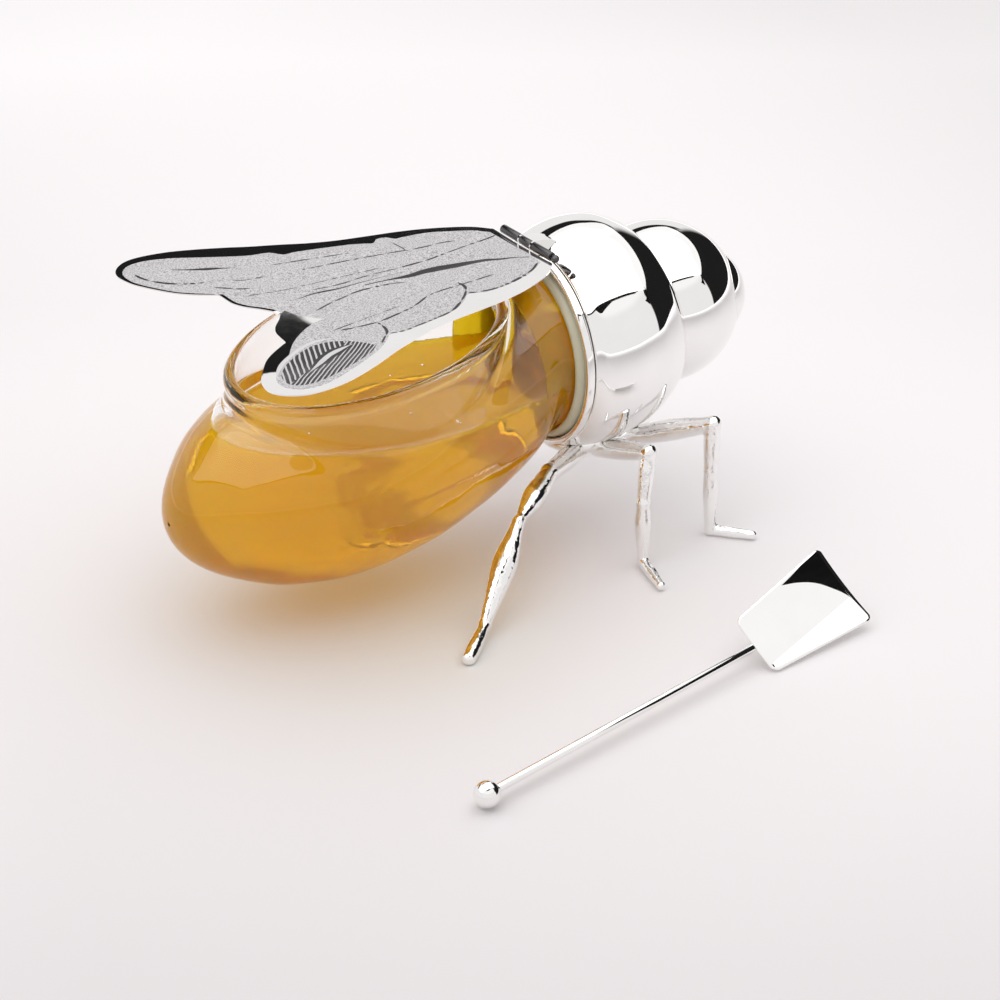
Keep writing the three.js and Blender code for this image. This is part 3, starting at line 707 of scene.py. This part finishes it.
def pixel(u, v):
    """The plan point, to a tenth of a millimetre, where a pixel of the photo meets the wing."""
    ray = CAMERA_FACING @ [u - PHOTO_SIDE / 2, PHOTO_SIDE / 2 - v, -PHOTO_SIDE * CAMERA_LENS / SENSOR]
    z = WING_TOP
    for _ in range(12):
        x, y = (CAMERA_AT + ray * (z - CAMERA_AT[2]) / ray[2])[:2]
        z = WING_TOP - VALLEY * (LID_BACK - x) / LID_LENGTH * (1 - abs(y) / LID_HALF_SPAN)
    return round(x, 1), round(y, 1)


# Engraved lines, drawn flush in dark silver as painted groove shade: points, greatest width, and the share
# of the length that is drawn in dashes.
# Some points were picked in the photo, the others on the plan.
LINES = {
    "main rib": ([pixel(530, 256.5), pixel(515, 257), pixel(500, 258.5), pixel(485, 259.5), pixel(470, 262),
      pixel(455, 265), pixel(440, 267.5), pixel(425, 270.5), pixel(410, 275), pixel(398, 277.5),
      pixel(385, 280), pixel(365, 284.5)], 2.1, 0),
    "right front arc": ([(-7.5, -12.8), (-11.1, -15.9), (-14.4, -17.8), (-18.2, -19.4), pixel(512, 282),
      pixel(500, 287), (-30.1, -21.7), (-33.2, -21.2), (-36.5, -19.9)], 0.7, 0.5),
    "right cell": ([(-34.8, -11.6), pixel(463, 285), pixel(466, 289), pixel(465, 295), pixel(462, 300),
      (-43.1, -25.4), (-46.5, -27.9), (-50.3, -29.4), pixel(437, 318)], 0.62, 0.15),
    "right cell tail": ([pixel(437, 318), pixel(425, 323), pixel(417, 326), (-65.4, -32.4),
      (-70.1, -31.6)], 0.5, 0.6),
    "crease line": ([(-22.8, -12.6), (-28, -13), (-35, -13.4), (-41.3, -13.7), (-46, -14.4)], 0.4, 0.2),
    "right inner vein": ([pixel(427, 296), pixel(420, 302), (-55.3, -19.4), pixel(400, 313),
      pixel(385, 319.5), (-69.4, -22.6), (-75.6, -22.2), (-80, -21.6)], 0.5, 0.1),
    "short arc": ([pixel(378, 323), pixel(384, 327), pixel(387, 332), pixel(385, 337),
      pixel(382, 343)], 0.6, 0.6),
    "right fine vein": ([(-82, -20.6), (-76, -19.4), (-66, -17.6), (-56, -16.2)], 0.3, 0.3),
    "left tip vein": ([pixel(170, 269.5), pixel(185, 270), pixel(200, 269.5), pixel(212, 269),
      pixel(222, 268.5), pixel(235, 268)], 1.0, 0),
    "left tip arc": ([(-111.6, 44.6), (-111, 41.6), (-109.4, 38.4), (-106.6, 35), (-103, 32.2),
      (-99.5, 30.4), (-95.3, 29)], 0.6, 0.4),
    "hind stroke": ([(-95.7, 25), (-92.7, 22.6), pixel(240, 289), pixel(250, 288.5)], 0.45, 0.3),
    "middle vein": ([pixel(288, 301), pixel(300, 298), pixel(312, 294), pixel(325, 291), pixel(340, 288),
      pixel(365, 281), pixel(405, 271)], 0.6, 0),
    "lower vein": ([pixel(316, 312), pixel(322, 308), pixel(330, 303), pixel(340, 298.5), pixel(350, 293.5),
      pixel(360, 290), pixel(375, 286), pixel(390, 283), pixel(407, 281.5)], 0.6, 0.25),
    "left vein": ([(-6, 11.9), pixel(485, 239), pixel(470, 244), pixel(455, 249.5), pixel(440, 255),
      (-34.2, 7.7), pixel(395, 268.5), (-54.6, 8), pixel(340, 284), (-72, 8.4)], 0.45, 0.1),
    "left upper vein": ([pixel(455, 240.5), pixel(440, 243), (-29, 16.3), (-33.9, 16.9), (-37, 17.6),
      pixel(378, 255), (-56, 20.6), (-68, 22)], 0.42, 0.3),
    "left stroke": ([(-35.7, 24.6), pixel(398, 246), pixel(404, 249), pixel(405, 251)], 0.4, 0.4),
    "left branch": ([(-89.1, 27.2), (-86.5, 24.9), (-80.3, 23.7)], 0.4, 0.3),
    "left fine vein": ([(-48, 10.6), (-62, 11.6), (-78, 12.6), (-90, 15)], 0.3, 0.5),
    "outer vein": ([(-50, 24.6), (-62, 27.2), (-74, 29.6)], 0.35, 0.5)}
QUILL = [(-81.8, -31.4), (-86, -32.4), (-91, -34.2), pixel(318, 364), (-102.4, -42.6)]
LOBE_LINE = [(-82, -25.4), (-86.5, -24.5), (-91, -24.4), (-95.4, -26), (-100, -28.6), (-104.6, -32),
             (-108.4, -36.4), (-110.4, -40.6)]


def closed_spline(points, steps):
    return spline(points + points[:1], steps)[:-1]


def strip(line, width, blunt=8.0):
    """A thin closed outline along a smooth line, tapering at both ends."""
    along = np.gradient(line, axis=0)
    along /= np.linalg.norm(along, axis=1)[:, None]
    across = np.stack([-along[:, 1], along[:, 0]], 1)
    t = np.linspace(0, 1, len(line))
    half = width / 2 * np.clip(np.minimum(t, 1 - t) * blunt, 0.16, 1)[:, None]
    return np.vstack([line + across * half, (line - across * half)[::-1]])


def engraving(line, width, dashed, seed):
    """One engraved line as outlines: whole where plain, broken into dashes elsewhere."""
    p = spline(line, 6)
    if not dashed:
        return [strip(p, width * 1.5, 2.2)]
    run = np.concatenate([[0], np.cumsum(np.linalg.norm(np.diff(p, axis=0), axis=1))])
    rng = np.random.default_rng(seed)
    out, start = [], 0.0
    while start < run[-1] - 0.8:
        plain = rng.random() > dashed
        length = rng.uniform(5, 9) if plain else rng.uniform(0.9, 2.2)
        end = min(start + length, run[-1])
        at = np.linspace(start, end, max(4, int((end - start) / 0.8)))
        piece = np.stack([np.interp(at, run, p[:, 0]), np.interp(at, run, p[:, 1])], 1)
        out.append(strip(piece, width * rng.uniform(1, 1.8), 5))
        start = end + rng.uniform(0.3, 0.9)
    return out


def distance_to(points, outline):
    """How far each plan point is from a closed outline."""
    a, b = outline, np.roll(outline, -1, 0)
    ab = b - a
    best = np.full(len(points), 1e9)
    for start, step in zip(a, ab):
        length = max(step @ step, 1e-12)
        t = np.clip(((points - start) @ step) / length, 0, 1)
        best = np.minimum(best, np.linalg.norm(points - start - t[:, None] * step, axis=1))
    return best


def wing_height(points):
    """Each wing rises from the crease to its outer side; the right hind lobe lies level."""
    along = (LID_BACK - points[:, 0]) / LID_LENGTH
    side = np.abs(points[:, 1])
    z = WING_TOP - VALLEY * along * (1 - side / LID_HALF_SPAN)
    z -= 0.016 * (16 - side) * np.clip(1 - along, 0, 1)
    level = WING_TOP - VALLEY * along * 0.5
    share = np.clip((LOBE_FRONT - points[:, 0]) / 13, 0, 1) * np.clip((LOBE_SIDE - side) / 8, 0, 1)
    share = np.where(points[:, 1] < 0, share * share * (3 - 2 * share), 0)
    z += share * (level - z)
    return z - 0.2 * np.exp(-side / 0.9) * np.clip(along * 4, 0, 1) * (1 - share)


def wing_outline():
    half = np.vstack([WING[0], spline(WING[1:-1], 5), WING[-1]])
    outline = np.vstack([half, (half * [1, -1])[::-1][1:-1]])
    fuller = 2.2 * np.exp(-((outline[:, 0] + 68) / 21) ** 2)
    outline[:, 1] += np.where(outline[:, 1] > 25, fuller, 0)
    return outline


def wing_cuts(outline):
    """The closed outlines on the wing plate, each with the number of its look."""
    # The dark look is painted shade for the engraved lines and along the quill.
    plain, matt, hatch, dark, pale = range(5)
    cuts = [(outline, plain), (closed_spline(LEFT_FIELD, 3), matt), (closed_spline(RIGHT_FIELD, 3), matt),
            (closed_spline(HATCH_FIELD, 4), hatch), (strip(spline(LOBE_LINE, 6), 1.3, 4), pale),
            (strip(spline(QUILL, 8), 4.2, 3), dark), (strip(spline(QUILL, 8), 1.7, 3), pale)]
    for i, (line, width, dashed) in enumerate(LINES.values()):
        cuts += [(cut, dark) for cut in engraving(line, width, dashed, i)]
    return cuts


def cross(a, b):
    return a[..., 0] * b[..., 1] - a[..., 1] * b[..., 0]


def wing_lid():
    outline = wing_outline()
    spots, loops, kinds = [], [], []
    for shape, kind in wing_cuts(outline):
        if cross(shape, np.roll(shape, -1, 0)).sum() < 0:
            shape = shape[::-1]
        start = len(spots)
        spots += [Vector(p) for p in shape]
        loops.append(list(range(start, len(spots))))
        kinds.append(kind)
    xs, ys = np.meshgrid(np.arange(-116, -5, 2.0), np.arange(-54, 55, 2.0))
    grid = np.stack([xs.ravel() + 0.013, ys.ravel() + 0.017], 1)
    grid = grid[distance_to(grid, outline) > 0.8]
    spots += [Vector(p) for p in grid]
    verts, _, found, _, _, origin = delaunay_2d_cdt(spots, [], loops, 1, 1e-5)
    flat = np.array([tuple(v) for v in verts])
    tris, slots = [], []
    for tri, source in zip(found, origin):
        if source:
            tris.append(list(tri))
            slots.append(max(kinds[i] for i in source))
    z = wing_height(flat)
    count = len(flat)
    inwards = 1 - np.exp(-distance_to(flat, outline) / 1.6)
    top = np.column_stack([flat, z])
    low = np.column_stack([flat, z - EDGE_THICK - (WING_THICK - EDGE_THICK) * inwards])
    if sum(cross(flat[b] - flat[a], flat[c] - flat[a]) for a, b, c in tris) < 0:
        tris = [t[::-1] for t in tris]
    sides = {(a, b) for t in tris for a, b in zip(t, t[1:] + t[:1])}
    faces = tris + [[i + count for i in t[::-1]] for t in tris]
    faces += [[b, a, a + count, b + count] for t in tris for a, b in zip(t, t[1:] + t[:1])
              if (b, a) not in sides]
    slots += [0] * (len(faces) - len(slots))
    used = sorted({i for f in faces for i in f})
    order = {old: new for new, old in enumerate(used)}
    faces = [[order[i] for i in f] for f in faces]
    looks = [silver, etched, hatched, groove_shade_silver, quill_silver]
    obj = new_object("wing_plate", np.vstack([top, low])[used], faces, looks, "lid", ("wing_lid",))
    obj.data.polygons.foreach_set("material_index", slots)
    obj.data.set_sharp_from_angle(angle=0.5)


HATCH_CENTRE = place([-91.8, -34.8, 0])


def make_hatched():
    """Darkened silver with two families of fine bright cuts that meet along the quill."""
    mat, tree, shader = material("etched_herringbone", {"Metallic": 1})
    calc = maths(tree)
    x, y, _ = axes(tree, "Object")
    x = calc("SUBTRACT", x, HATCH_CENTRE[0])
    y = calc("SUBTRACT", y, HATCH_CENTRE[1])

    def across(direction, spacing):
        """Bright cuts that run along a plan direction, a spacing apart."""
        c, d = direction
        size = math.hypot(c, d)
        shift = calc("SUBTRACT", calc("MULTIPLY", x, d / size), calc("MULTIPLY", y, c / size))
        wobble = calc("MULTIPLY", noise(tree, 160, 1), 0.0007)
        return calc("SINE", calc("MULTIPLY", calc("ADD", shift, wobble), 2 * math.pi / spacing))

    outer = calc("LESS_THAN", calc("SUBTRACT", calc("MULTIPLY", y, 0.853), calc("MULTIPLY", x, 0.523)), 0.0)
    first = across((0.378, 0.926), 0.0015)
    second = across((0.74, 0.67), 0.0012)
    wave = calc("ADD", calc("MULTIPLY", second, outer),
                calc("MULTIPLY", first, calc("SUBTRACT", 1.0, outer)))
    cut = calc("ADD", calc("MULTIPLY", wave, 0.5), 0.5)
    drive(tree, shader, "Base Color", cut, [(0.58, (0.05, 0.047, 0.047)), (0.84, (0.56, 0.55, 0.56))])
    drive(tree, shader, "Roughness", cut, [(0.4, grey(0.3)), (0.6, grey(0.75))])
    bump(tree, shader, cut, 0.6, 0.00012)
    return mat


hatched = make_hatched()
# Dark silver for the engraved lines: painted shade for grooves that are not cut into the plate.
groove_shade_silver = polished("engraved_groove_shade", (0.05, 0.048, 0.05), 0.3, 0.45)
quill_silver = polished("quill_silver", (0.62, 0.61, 0.62), 0.5, 0.65)
wing_lid()

# Hinge

KNUCKLE = 1.4
BORE = 0.75
SLEEVE_HALF = 2.8
knuckle_silver = polished("shaded_silver", (0.1, 0.097, 0.1), 0.12, 0.25)


def across_hinge(name, outline, body, node=(), slot=None):
    """A ring turned about the hinge line from [along, radius] corners."""
    points, faces = revolve_x(outline, 48)
    new_object(name, points[:, [1, 0, 2]] + [HINGE_X, 0, HINGE_Z], [f[::-1] for f in faces],
               knuckle_silver, body, node, slot)


for side_name, start, end in (("left", 3.8, 13.2), ("right", -13.2, -3.8)):
    corners = [(start, KNUCKLE - 0.01), (end, KNUCKLE - 0.01), (end, BORE), (start, BORE)]
    across_hinge("knuckle_" + side_name, rounded(corners, 0.35, 4), "lid", ("lid_knuckle_" + side_name,))
corners = [(SLEEVE_HALF, 1.3), (SLEEVE_HALF, KNUCKLE + 0.02), (-SLEEVE_HALF, KNUCKLE + 0.02),
           (-SLEEVE_HALF, 1.3)]
across_hinge("bracket_sleeve", rounded(corners, 0.08, 3), "jar", slot="polished_silver")
for node_name, finish in (("hinge_pin", dark_silver), ("hub_bolt", dark_silver), ("hub_nut", dark_silver),
                          ("hinge_bracket", silver), ("neck_plate", silver)):
    node_looks = nodes[node_name].data.materials
    node_looks.clear()
    node_looks.append(finish)


def ball(name, centre, radius, node, body, finish=silver):
    rows = arc(radius, np.linspace(math.pi, 0, 49), 0.002)
    points, faces = revolve_x(rows, 64, centre, closed=False)
    new_object(name, points, faces, finish, body, (node,))


PIN_BALL_Y, PIN_BALL_RADIUS = -15.05, 1.24
ball("pin_ball", (HINGE_X, PIN_BALL_Y, HINGE_Z), PIN_BALL_RADIUS, "hinge_pin_knob", "jar", knuckle_silver)

# Legs and their hub

LEG = 2.3
# No leg and no hub comes nearer than this to the thorax's named surface.
CLEAR = 0.25
# Where each leg's links meet, from the hub to the toe, for the left side.
JOINTS = {
    "front": [(31, 8, -35.9), (44.4, 33.6, -24.95), (43.6, 34.6, -40.4), (44, 35, -61.39),
              (53, 45, -61.6)],
    "middle": [(19.5, 8, -37), (17.8, 36.5, -26.2), (14.6, 39, -41.8), (14, 40.4, -61.39),
               (10, 55.3, -61.6)],
    "hind": [(11, 8, -35.9), (-9.5, 22.8, -31.6), (-29.6, 36.6, -36.1), (-50.6, 50.2, -58.66),
             (-61.8, 59.4, -61.46)]}
# Each link's radius at its first end, where it is widest and at its last end, in shares of LEG,
# and how far along it is widest.
LINKS = {
    "front": [(1.48, 1.57, 1.17, 0.45), (1.09, 1.15, 0.96, 0.4), (0.96, 1.1, 0.83, 0.35),
              (0.78, 0.8, 0.65, 0.4)],
    "middle": [(1.43, 1.48, 1.13, 0.4), (1.04, 1.13, 0.91, 0.35), (0.91, 1.13, 0.78, 0.35),
               (0.78, 0.8, 0.63, 0.4)],
    "hind": [(1.43, 1.48, 1.26, 0.4), (1.26, 1.6, 0.74, 0.45), (0.87, 1.7, 0.87, 0.42),
             (0.8, 1.02, 0.96, 0.7)]}


def link_field(points, a, b, row):
    first, full, last = [LEG * v for v in row[:3]]
    widest = row[3]
    ab = b - a
    t = np.clip(((points - a) @ ab) / (ab @ ab), 0, 1)
    near = points - a - t[..., None] * ab
    rise = np.where(t < widest, t / widest, (1 - t) / (1 - widest))
    swell = rise * rise * (3 - 2 * rise)
    r = np.where(t < widest, first, last) * (1 - swell) + full * swell
    return np.linalg.norm(near, axis=-1) - r


def thorax_field(points):
    x = points[..., 0]
    share = np.clip(x / THORAX_LENGTH, 0, 1)
    rows = np.array(SHARES)
    r = np.interp(share, rows[:, 0], rows[:, 1]) * THORAX_RADIUS
    return np.hypot(points[..., 1], points[..., 2] - THORAX_RISE * share) - r


def leg_field(kind, side):
    joints = [np.array([x, side * y, z]) for x, y, z in JOINTS[kind]]

    def field(points):
        f = None
        for i, row in enumerate(LINKS[kind]):
            link = link_field(points, joints[i], joints[i + 1], row)
            f = link if f is None else blend_in(f, link, 0.7)
        f = blend_cut(f, -STAND - points[..., 2], 0.4)
        return np.maximum(f, CLEAR - thorax_field(points))
    return field, joints


LEG_MARGIN = 4.2
for kind in JOINTS:
    for side_name, side in (("left", 1), ("right", -1)):
        field, joints = leg_field(kind, side)
        low, high = np.min(joints, 0) - LEG_MARGIN, np.max(joints, 0) + LEG_MARGIN
        low[2] = max(low[2], -STAND - 1)
        points, faces = skin(field, low, high, 0.42)
        new_object("cast_leg_%s_%s" % (kind, side_name), points, faces, cast_silver, "jar",
                   ("leg_%s_%s" % (kind, side_name),))

HUB = np.array([21, 0, -34.0])
HUB_SIZE = np.array([16.9, 12.9, 5.4])
HUB_BORE = 1.8


def hub_field(points):
    q = (points - HUB) / HUB_SIZE
    s = np.linalg.norm(q, axis=-1) + 1e-9
    f = (s - 1) * s / (np.linalg.norm(q / HUB_SIZE, axis=-1) + 1e-9)
    hole = np.hypot(points[..., 0] - HUB[0], points[..., 1]) - HUB_BORE
    f = blend_cut(f, -hole, 0.3)
    return np.maximum(f, CLEAR - thorax_field(points))


points, faces = skin(hub_field, (3, -14, -40.5), (39, 14, -27), 0.6)
new_object("cast_hub", points, faces, silver, "jar", ("leg_hub",))

# Spoon

BALL_AT = np.array([-97.1, -124.1, 3.9 - STAND])
BALL_RADIUS, ROD_RADIUS = 3.86, 1.24
SPOON_YAW = math.radians(10.4)
ROD_START, ROD_LENGTH = 3.2, 105.4
ROD_TILT = math.asin(1.6 / ROD_LENGTH)
BLADE_ROLL = math.radians(39.3)
BLADE_YAW = math.radians(4.5)
BLADE_PITCH = math.radians(4)
BLADE = dict(length=40.7, neck=18.8, front=27.0, corner=2.4, thick=1.0, dish=103.0, worn=0.3, fade=0.12)
SPOON_TURN = turn("z", SPOON_YAW) @ turn("y", -ROD_TILT)
BLADE_TURN = turn("x", BLADE_ROLL) @ turn("z", BLADE_YAW) @ turn("y", -BLADE_PITCH)
ball("spoon_end_ball", BALL_AT, BALL_RADIUS, "spoon_ball", "spoon")
rod_rows = rounded([(ROD_START, 0.001), (ROD_START, ROD_RADIUS), (ROD_LENGTH, ROD_RADIUS),
                    (ROD_LENGTH, 0.001)], 0.2, 4)[2:-2]
points, faces = revolve_x(rod_rows, 48, closed=False)
new_object("spoon_stem", points @ SPOON_TURN.T + BALL_AT, faces, silver, "spoon", ("spoon_rod",))


def spoon_blade():
    b = BLADE
    # The rows of points crowd at the edges, which are rounded there.
    u = np.insert(np.linspace(0, 1, 48), [1, 47], [0.006, 0.994])
    v = np.insert(np.linspace(-1, 1, 36), [1, 35], [-0.978, 0.978])
    uu, vv = np.meshgrid(u, v, indexing="ij")
    x = uu * b["length"]
    half = b["neck"] / 2 + uu * (b["front"] - b["neck"]) / 2
    near_end = np.clip(1 - np.minimum(x, b["length"] - x) / b["corner"], 0, 1)
    half = half - b["corner"] * (1 - np.sqrt(1 - near_end ** 2))
    y = vv * half
    z = b["dish"] - np.sqrt(b["dish"] ** 2 - y ** 2)
    top = np.stack([x, y, z + b["thick"]], -1).reshape(-1, 3)
    low = np.stack([x, y, z + 0.02], -1).reshape(-1, 3)
    edge_dist = np.minimum(np.minimum(x, b["length"] - x), half - np.abs(y)).reshape(-1)
    worn = b["worn"] * np.exp(-edge_dist / b["fade"])
    top[:, 2] -= worn
    low[:, 2] += worn
    points = np.vstack([top, low]) @ BLADE_TURN.T + [ROD_LENGTH + 0.3, 0, 0]
    new_object("spoon_plate", points @ SPOON_TURN.T + BALL_AT, sheet_faces(len(u), len(v), flip=True),
               blade_silver, "spoon", ("spoon_blade",))


spoon_blade()

# Stage, lights and camera

# The camera's level direction, and a spot under the bowl where the floor's painted shadow and glow are
# centred, in metres from the ring centre.
AWAY_X, AWAY_Y = 0.544, 0.839
SPOT_X, SPOT_Y = -0.085, -0.02


def make_floor():
    size, ground = 6.0, -0.0002
    corners = [(-size, -size, ground), (size, -size, ground), (size, size, ground), (-size, size, ground)]
    obj = link_mesh("floor", corners, [(0, 1, 2, 3)])
    mat, tree, shader = material("floor_white", {
        "Base Color": (0.74, 0.715, 0.725, 1), "Roughness": 0.6, "Specular IOR Level": 0.1})
    calc = maths(tree)
    # The paper grows whiter away from the overhead light, for rays that see it as background.
    x, y, _ = axes(tree, "Object")
    x = calc("SUBTRACT", x, float(ORIGIN[0]))
    y = calc("SUBTRACT", y, float(ORIGIN[1]))
    away = calc("ADD", calc("MULTIPLY", x, AWAY_X), calc("MULTIPLY", y, AWAY_Y))
    aside = calc("SUBTRACT", calc("MULTIPLY", x, AWAY_Y), calc("MULTIPLY", y, AWAY_X))
    tone = ramp(tree, calc("MULTIPLY_ADD", away, 1.25, 0.3), [
        (0.02, (0.05, 0.048, 0.049)), (0.17, (0.095, 0.092, 0.094)), (0.52, (0.165, 0.16, 0.162)),
        (0.87, (0.38, 0.375, 0.377))])
    slope = calc("MULTIPLY", aside, calc("MULTIPLY_ADD", away, -1.2, 0.25))
    path = add(tree, "ShaderNodeLightPath")
    looked = calc("MAXIMUM", path.outputs["Is Camera Ray"],
                  calc("MAXIMUM", path.outputs["Is Glossy Ray"], path.outputs["Is Transmission Ray"]))
    near = calc("ADD", calc("POWER", calc("SUBTRACT", x, SPOT_X), 2),
                calc("POWER", calc("SUBTRACT", y, SPOT_Y), 2))
    # Painted shadow: it is darker under the bowl; painted light and shade make it darker or lighter to the
    # sides.
    under = calc("MULTIPLY", calc("EXPONENT", calc("DIVIDE", near, -0.0045)), 0.06)
    level = calc("ADD", tone, calc("MAXIMUM", calc("MINIMUM", slope, 0.06), -0.055))
    level = calc("SUBTRACT", level, under)
    # Far from the object it fades to white.
    far_off = calc("SQRT", calc("ADD", calc("MULTIPLY", x, x), calc("MULTIPLY", y, y)))
    beyond = calc("MINIMUM", calc("MAXIMUM", calc("SUBTRACT", far_off, 0.75), 0.0), 1.2)
    level = calc("ADD", level, calc("MULTIPLY", beyond, 0.5))
    tree.links.new(calc("MULTIPLY", level, looked), shader.inputs["Emission Strength"])
    # A painted amber glow round the same spot, standing in for the light that came through the honey.
    painted_glow = calc("EXPONENT", calc("DIVIDE", near, -0.003))
    drive(tree, shader, "Emission Color", painted_glow, [(0.1, (1, 0.985, 0.99)), (0.8, (1, 0.96, 0.08))])
    obj.data.materials.append(mat)
    obj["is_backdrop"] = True


make_floor()


# Dark patches that only mirrors see: where each starts and ends, in degrees, as pairs over which
# it fades in and out. One is a gap in front of the head, one a strip under the light's far edge.
FRONT_GAP = {"azimuth": (-41, -39.5, 42, 34), "elevation": (-6, -1, 50, 49)}
FAR_STRIP = {"azimuth": (30, 45, 150, 120), "elevation": (23.6, 24.8, 44, 41)}
STUDIO_TINT = (1, 0.985, 0.98, 1)


def make_world():
    world = bpy.data.worlds.new("studio")
    scene.world = world
    world.use_nodes = True
    tree = world.node_tree
    tree.nodes.clear()
    calc = maths(tree)

    def step(value, low, high):
        node = add(tree, "ShaderNodeMapRange", interpolation_type="SMOOTHSTEP",
                   **{"From Min": low, "From Max": high})
        tree.links.new(value, node.inputs["Value"])
        return node.outputs["Result"]

    def window(value, rise_from, rise_to, fall_from, fall_to):
        return calc("MULTIPLY", step(value, rise_from, rise_to), step(value, fall_from, fall_to))

    def patch(edges):
        return calc("MULTIPLY", window(azimuth, *edges["azimuth"]), window(elevation, *edges["elevation"]))

    x, y, z = axes(tree, "Generated")
    elevation = calc("MULTIPLY", calc("ARCSINE", z), 180 / math.pi)
    azimuth = calc("MULTIPLY", calc("ARCTAN2", y, x), 180 / math.pi)
    lean = calc("DIVIDE", calc("MULTIPLY_ADD", y, 0.55, x), calc("MAXIMUM", z, 0.01))
    front = calc("MULTIPLY", patch(FRONT_GAP), step(lean, 0.66, 0.6615))
    dark = calc("MULTIPLY", calc("MAXIMUM", front, patch(FAR_STRIP)), 0.985)
    wall = calc("MULTIPLY_ADD", step(elevation, 30, 38), 0.13, 0.9)
    glossy = add(tree, "ShaderNodeBackground", Color=STUDIO_TINT)
    tree.links.new(calc("MULTIPLY", wall, calc("SUBTRACT", 1.0, dark)), glossy.inputs["Strength"])
    plain = add(tree, "ShaderNodeBackground", Color=STUDIO_TINT, Strength=0.62)
    seen = add(tree, "ShaderNodeBackground", Color=(0.965, 0.93, 0.94, 1), Strength=1.0)
    path = add(tree, "ShaderNodeLightPath")
    lit = mix_shaders(tree, path.outputs["Is Glossy Ray"], plain.outputs[0], glossy.outputs[0])
    looked = calc("MAXIMUM", path.outputs["Is Camera Ray"], path.outputs["Is Transmission Ray"])
    out = add(tree, "ShaderNodeOutputWorld")
    tree.links.new(mix_shaders(tree, looked, lit, seen.outputs[0]), out.inputs["Surface"])


make_world()

LIGHT_X, LIGHT_Y, LIGHT_Z = (-560, 315), (-224, 298), 250
RADIANCE = 1.05


def overhead_light():
    """A flat light over the set."""
    light = bpy.data.lights.new("overhead", "AREA")
    light.shape = "RECTANGLE"
    light.size, light.size_y = [(high - low) * MM for low, high in (LIGHT_X, LIGHT_Y)]
    light.energy = RADIANCE * math.pi * light.size * light.size_y
    light.color = (1, 0.99, 0.985)
    obj = bpy.data.objects.new("overhead", light)
    obj.location = place([sum(LIGHT_X) / 2, sum(LIGHT_Y) / 2, LIGHT_Z])
    obj.visible_camera = False
    scene.collection.objects.link(obj)


overhead_light()


def light_frame():
    """The overhead light's black rim, wider where its clamp sits; only reflections show it."""
    outer = [(230, -226), (200, -240), (10, -244), (-50, -272), (-110, -300), (-160, -292), (-230, -243),
             (-584, -240), (-584, 314), (338, 314), (338, -100)]
    inner = [(x, -225) for x, y in outer[:7]] + [(-560, -225), (-560, 299), (316, 299), (316, -100)]
    # A flap at one corner, round whose curved edge the light still shines.
    flap = spline([(325, -325), (337, -315), (330, -285), (310, -242), (288, -195)], 5).tolist()
    corner = (450, -400)
    rows = place([(x, y, LIGHT_Z - 1) for x, y in outer + inner + flap + [corner]]).tolist()
    n = len(outer)
    faces = [(i, i + 1, i + 1 + n, i + n) for i in range(n - 1)]
    faces += [(i, i + 1, len(rows) - 1) for i in range(2 * n, len(rows) - 2)]
    obj = link_mesh("light_frame", rows, faces)
    mat, tree, shader = material("frame_black", {"Roughness": 0.8, "Specular IOR Level": 0.0})
    drive(tree, shader, "Base Color", noise(tree, 30), [(0.3, grey(0.012)), (0.7, grey(0.02))])
    obj.data.materials.append(mat)
    obj.visible_camera = obj.visible_diffuse = obj.visible_shadow = obj.visible_transmission = False
    obj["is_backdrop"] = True


light_frame()


def make_camera():
    camera = bpy.data.cameras.new("camera")
    camera.sensor_width = SENSOR
    camera.sensor_fit = "HORIZONTAL"
    camera.lens = CAMERA_LENS
    camera.clip_start = 0.01
    obj = bpy.data.objects.new("camera", camera)
    matrix = Matrix(CAMERA_FACING.tolist()).to_4x4()
    matrix.translation = Vector(place(CAMERA_AT))
    obj.matrix_world = matrix
    scene.collection.objects.link(obj)
    scene.camera = obj


make_camera()
scene.view_settings.view_transform = "Standard"
cycles = scene.cycles
cycles.max_bounces = cycles.transmission_bounces = 28
cycles.glossy_bounces = 10
cycles.transparent_max_bounces = 16
{"cad": [list(c) for c in cad_box], "visual": [list(c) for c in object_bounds()]}
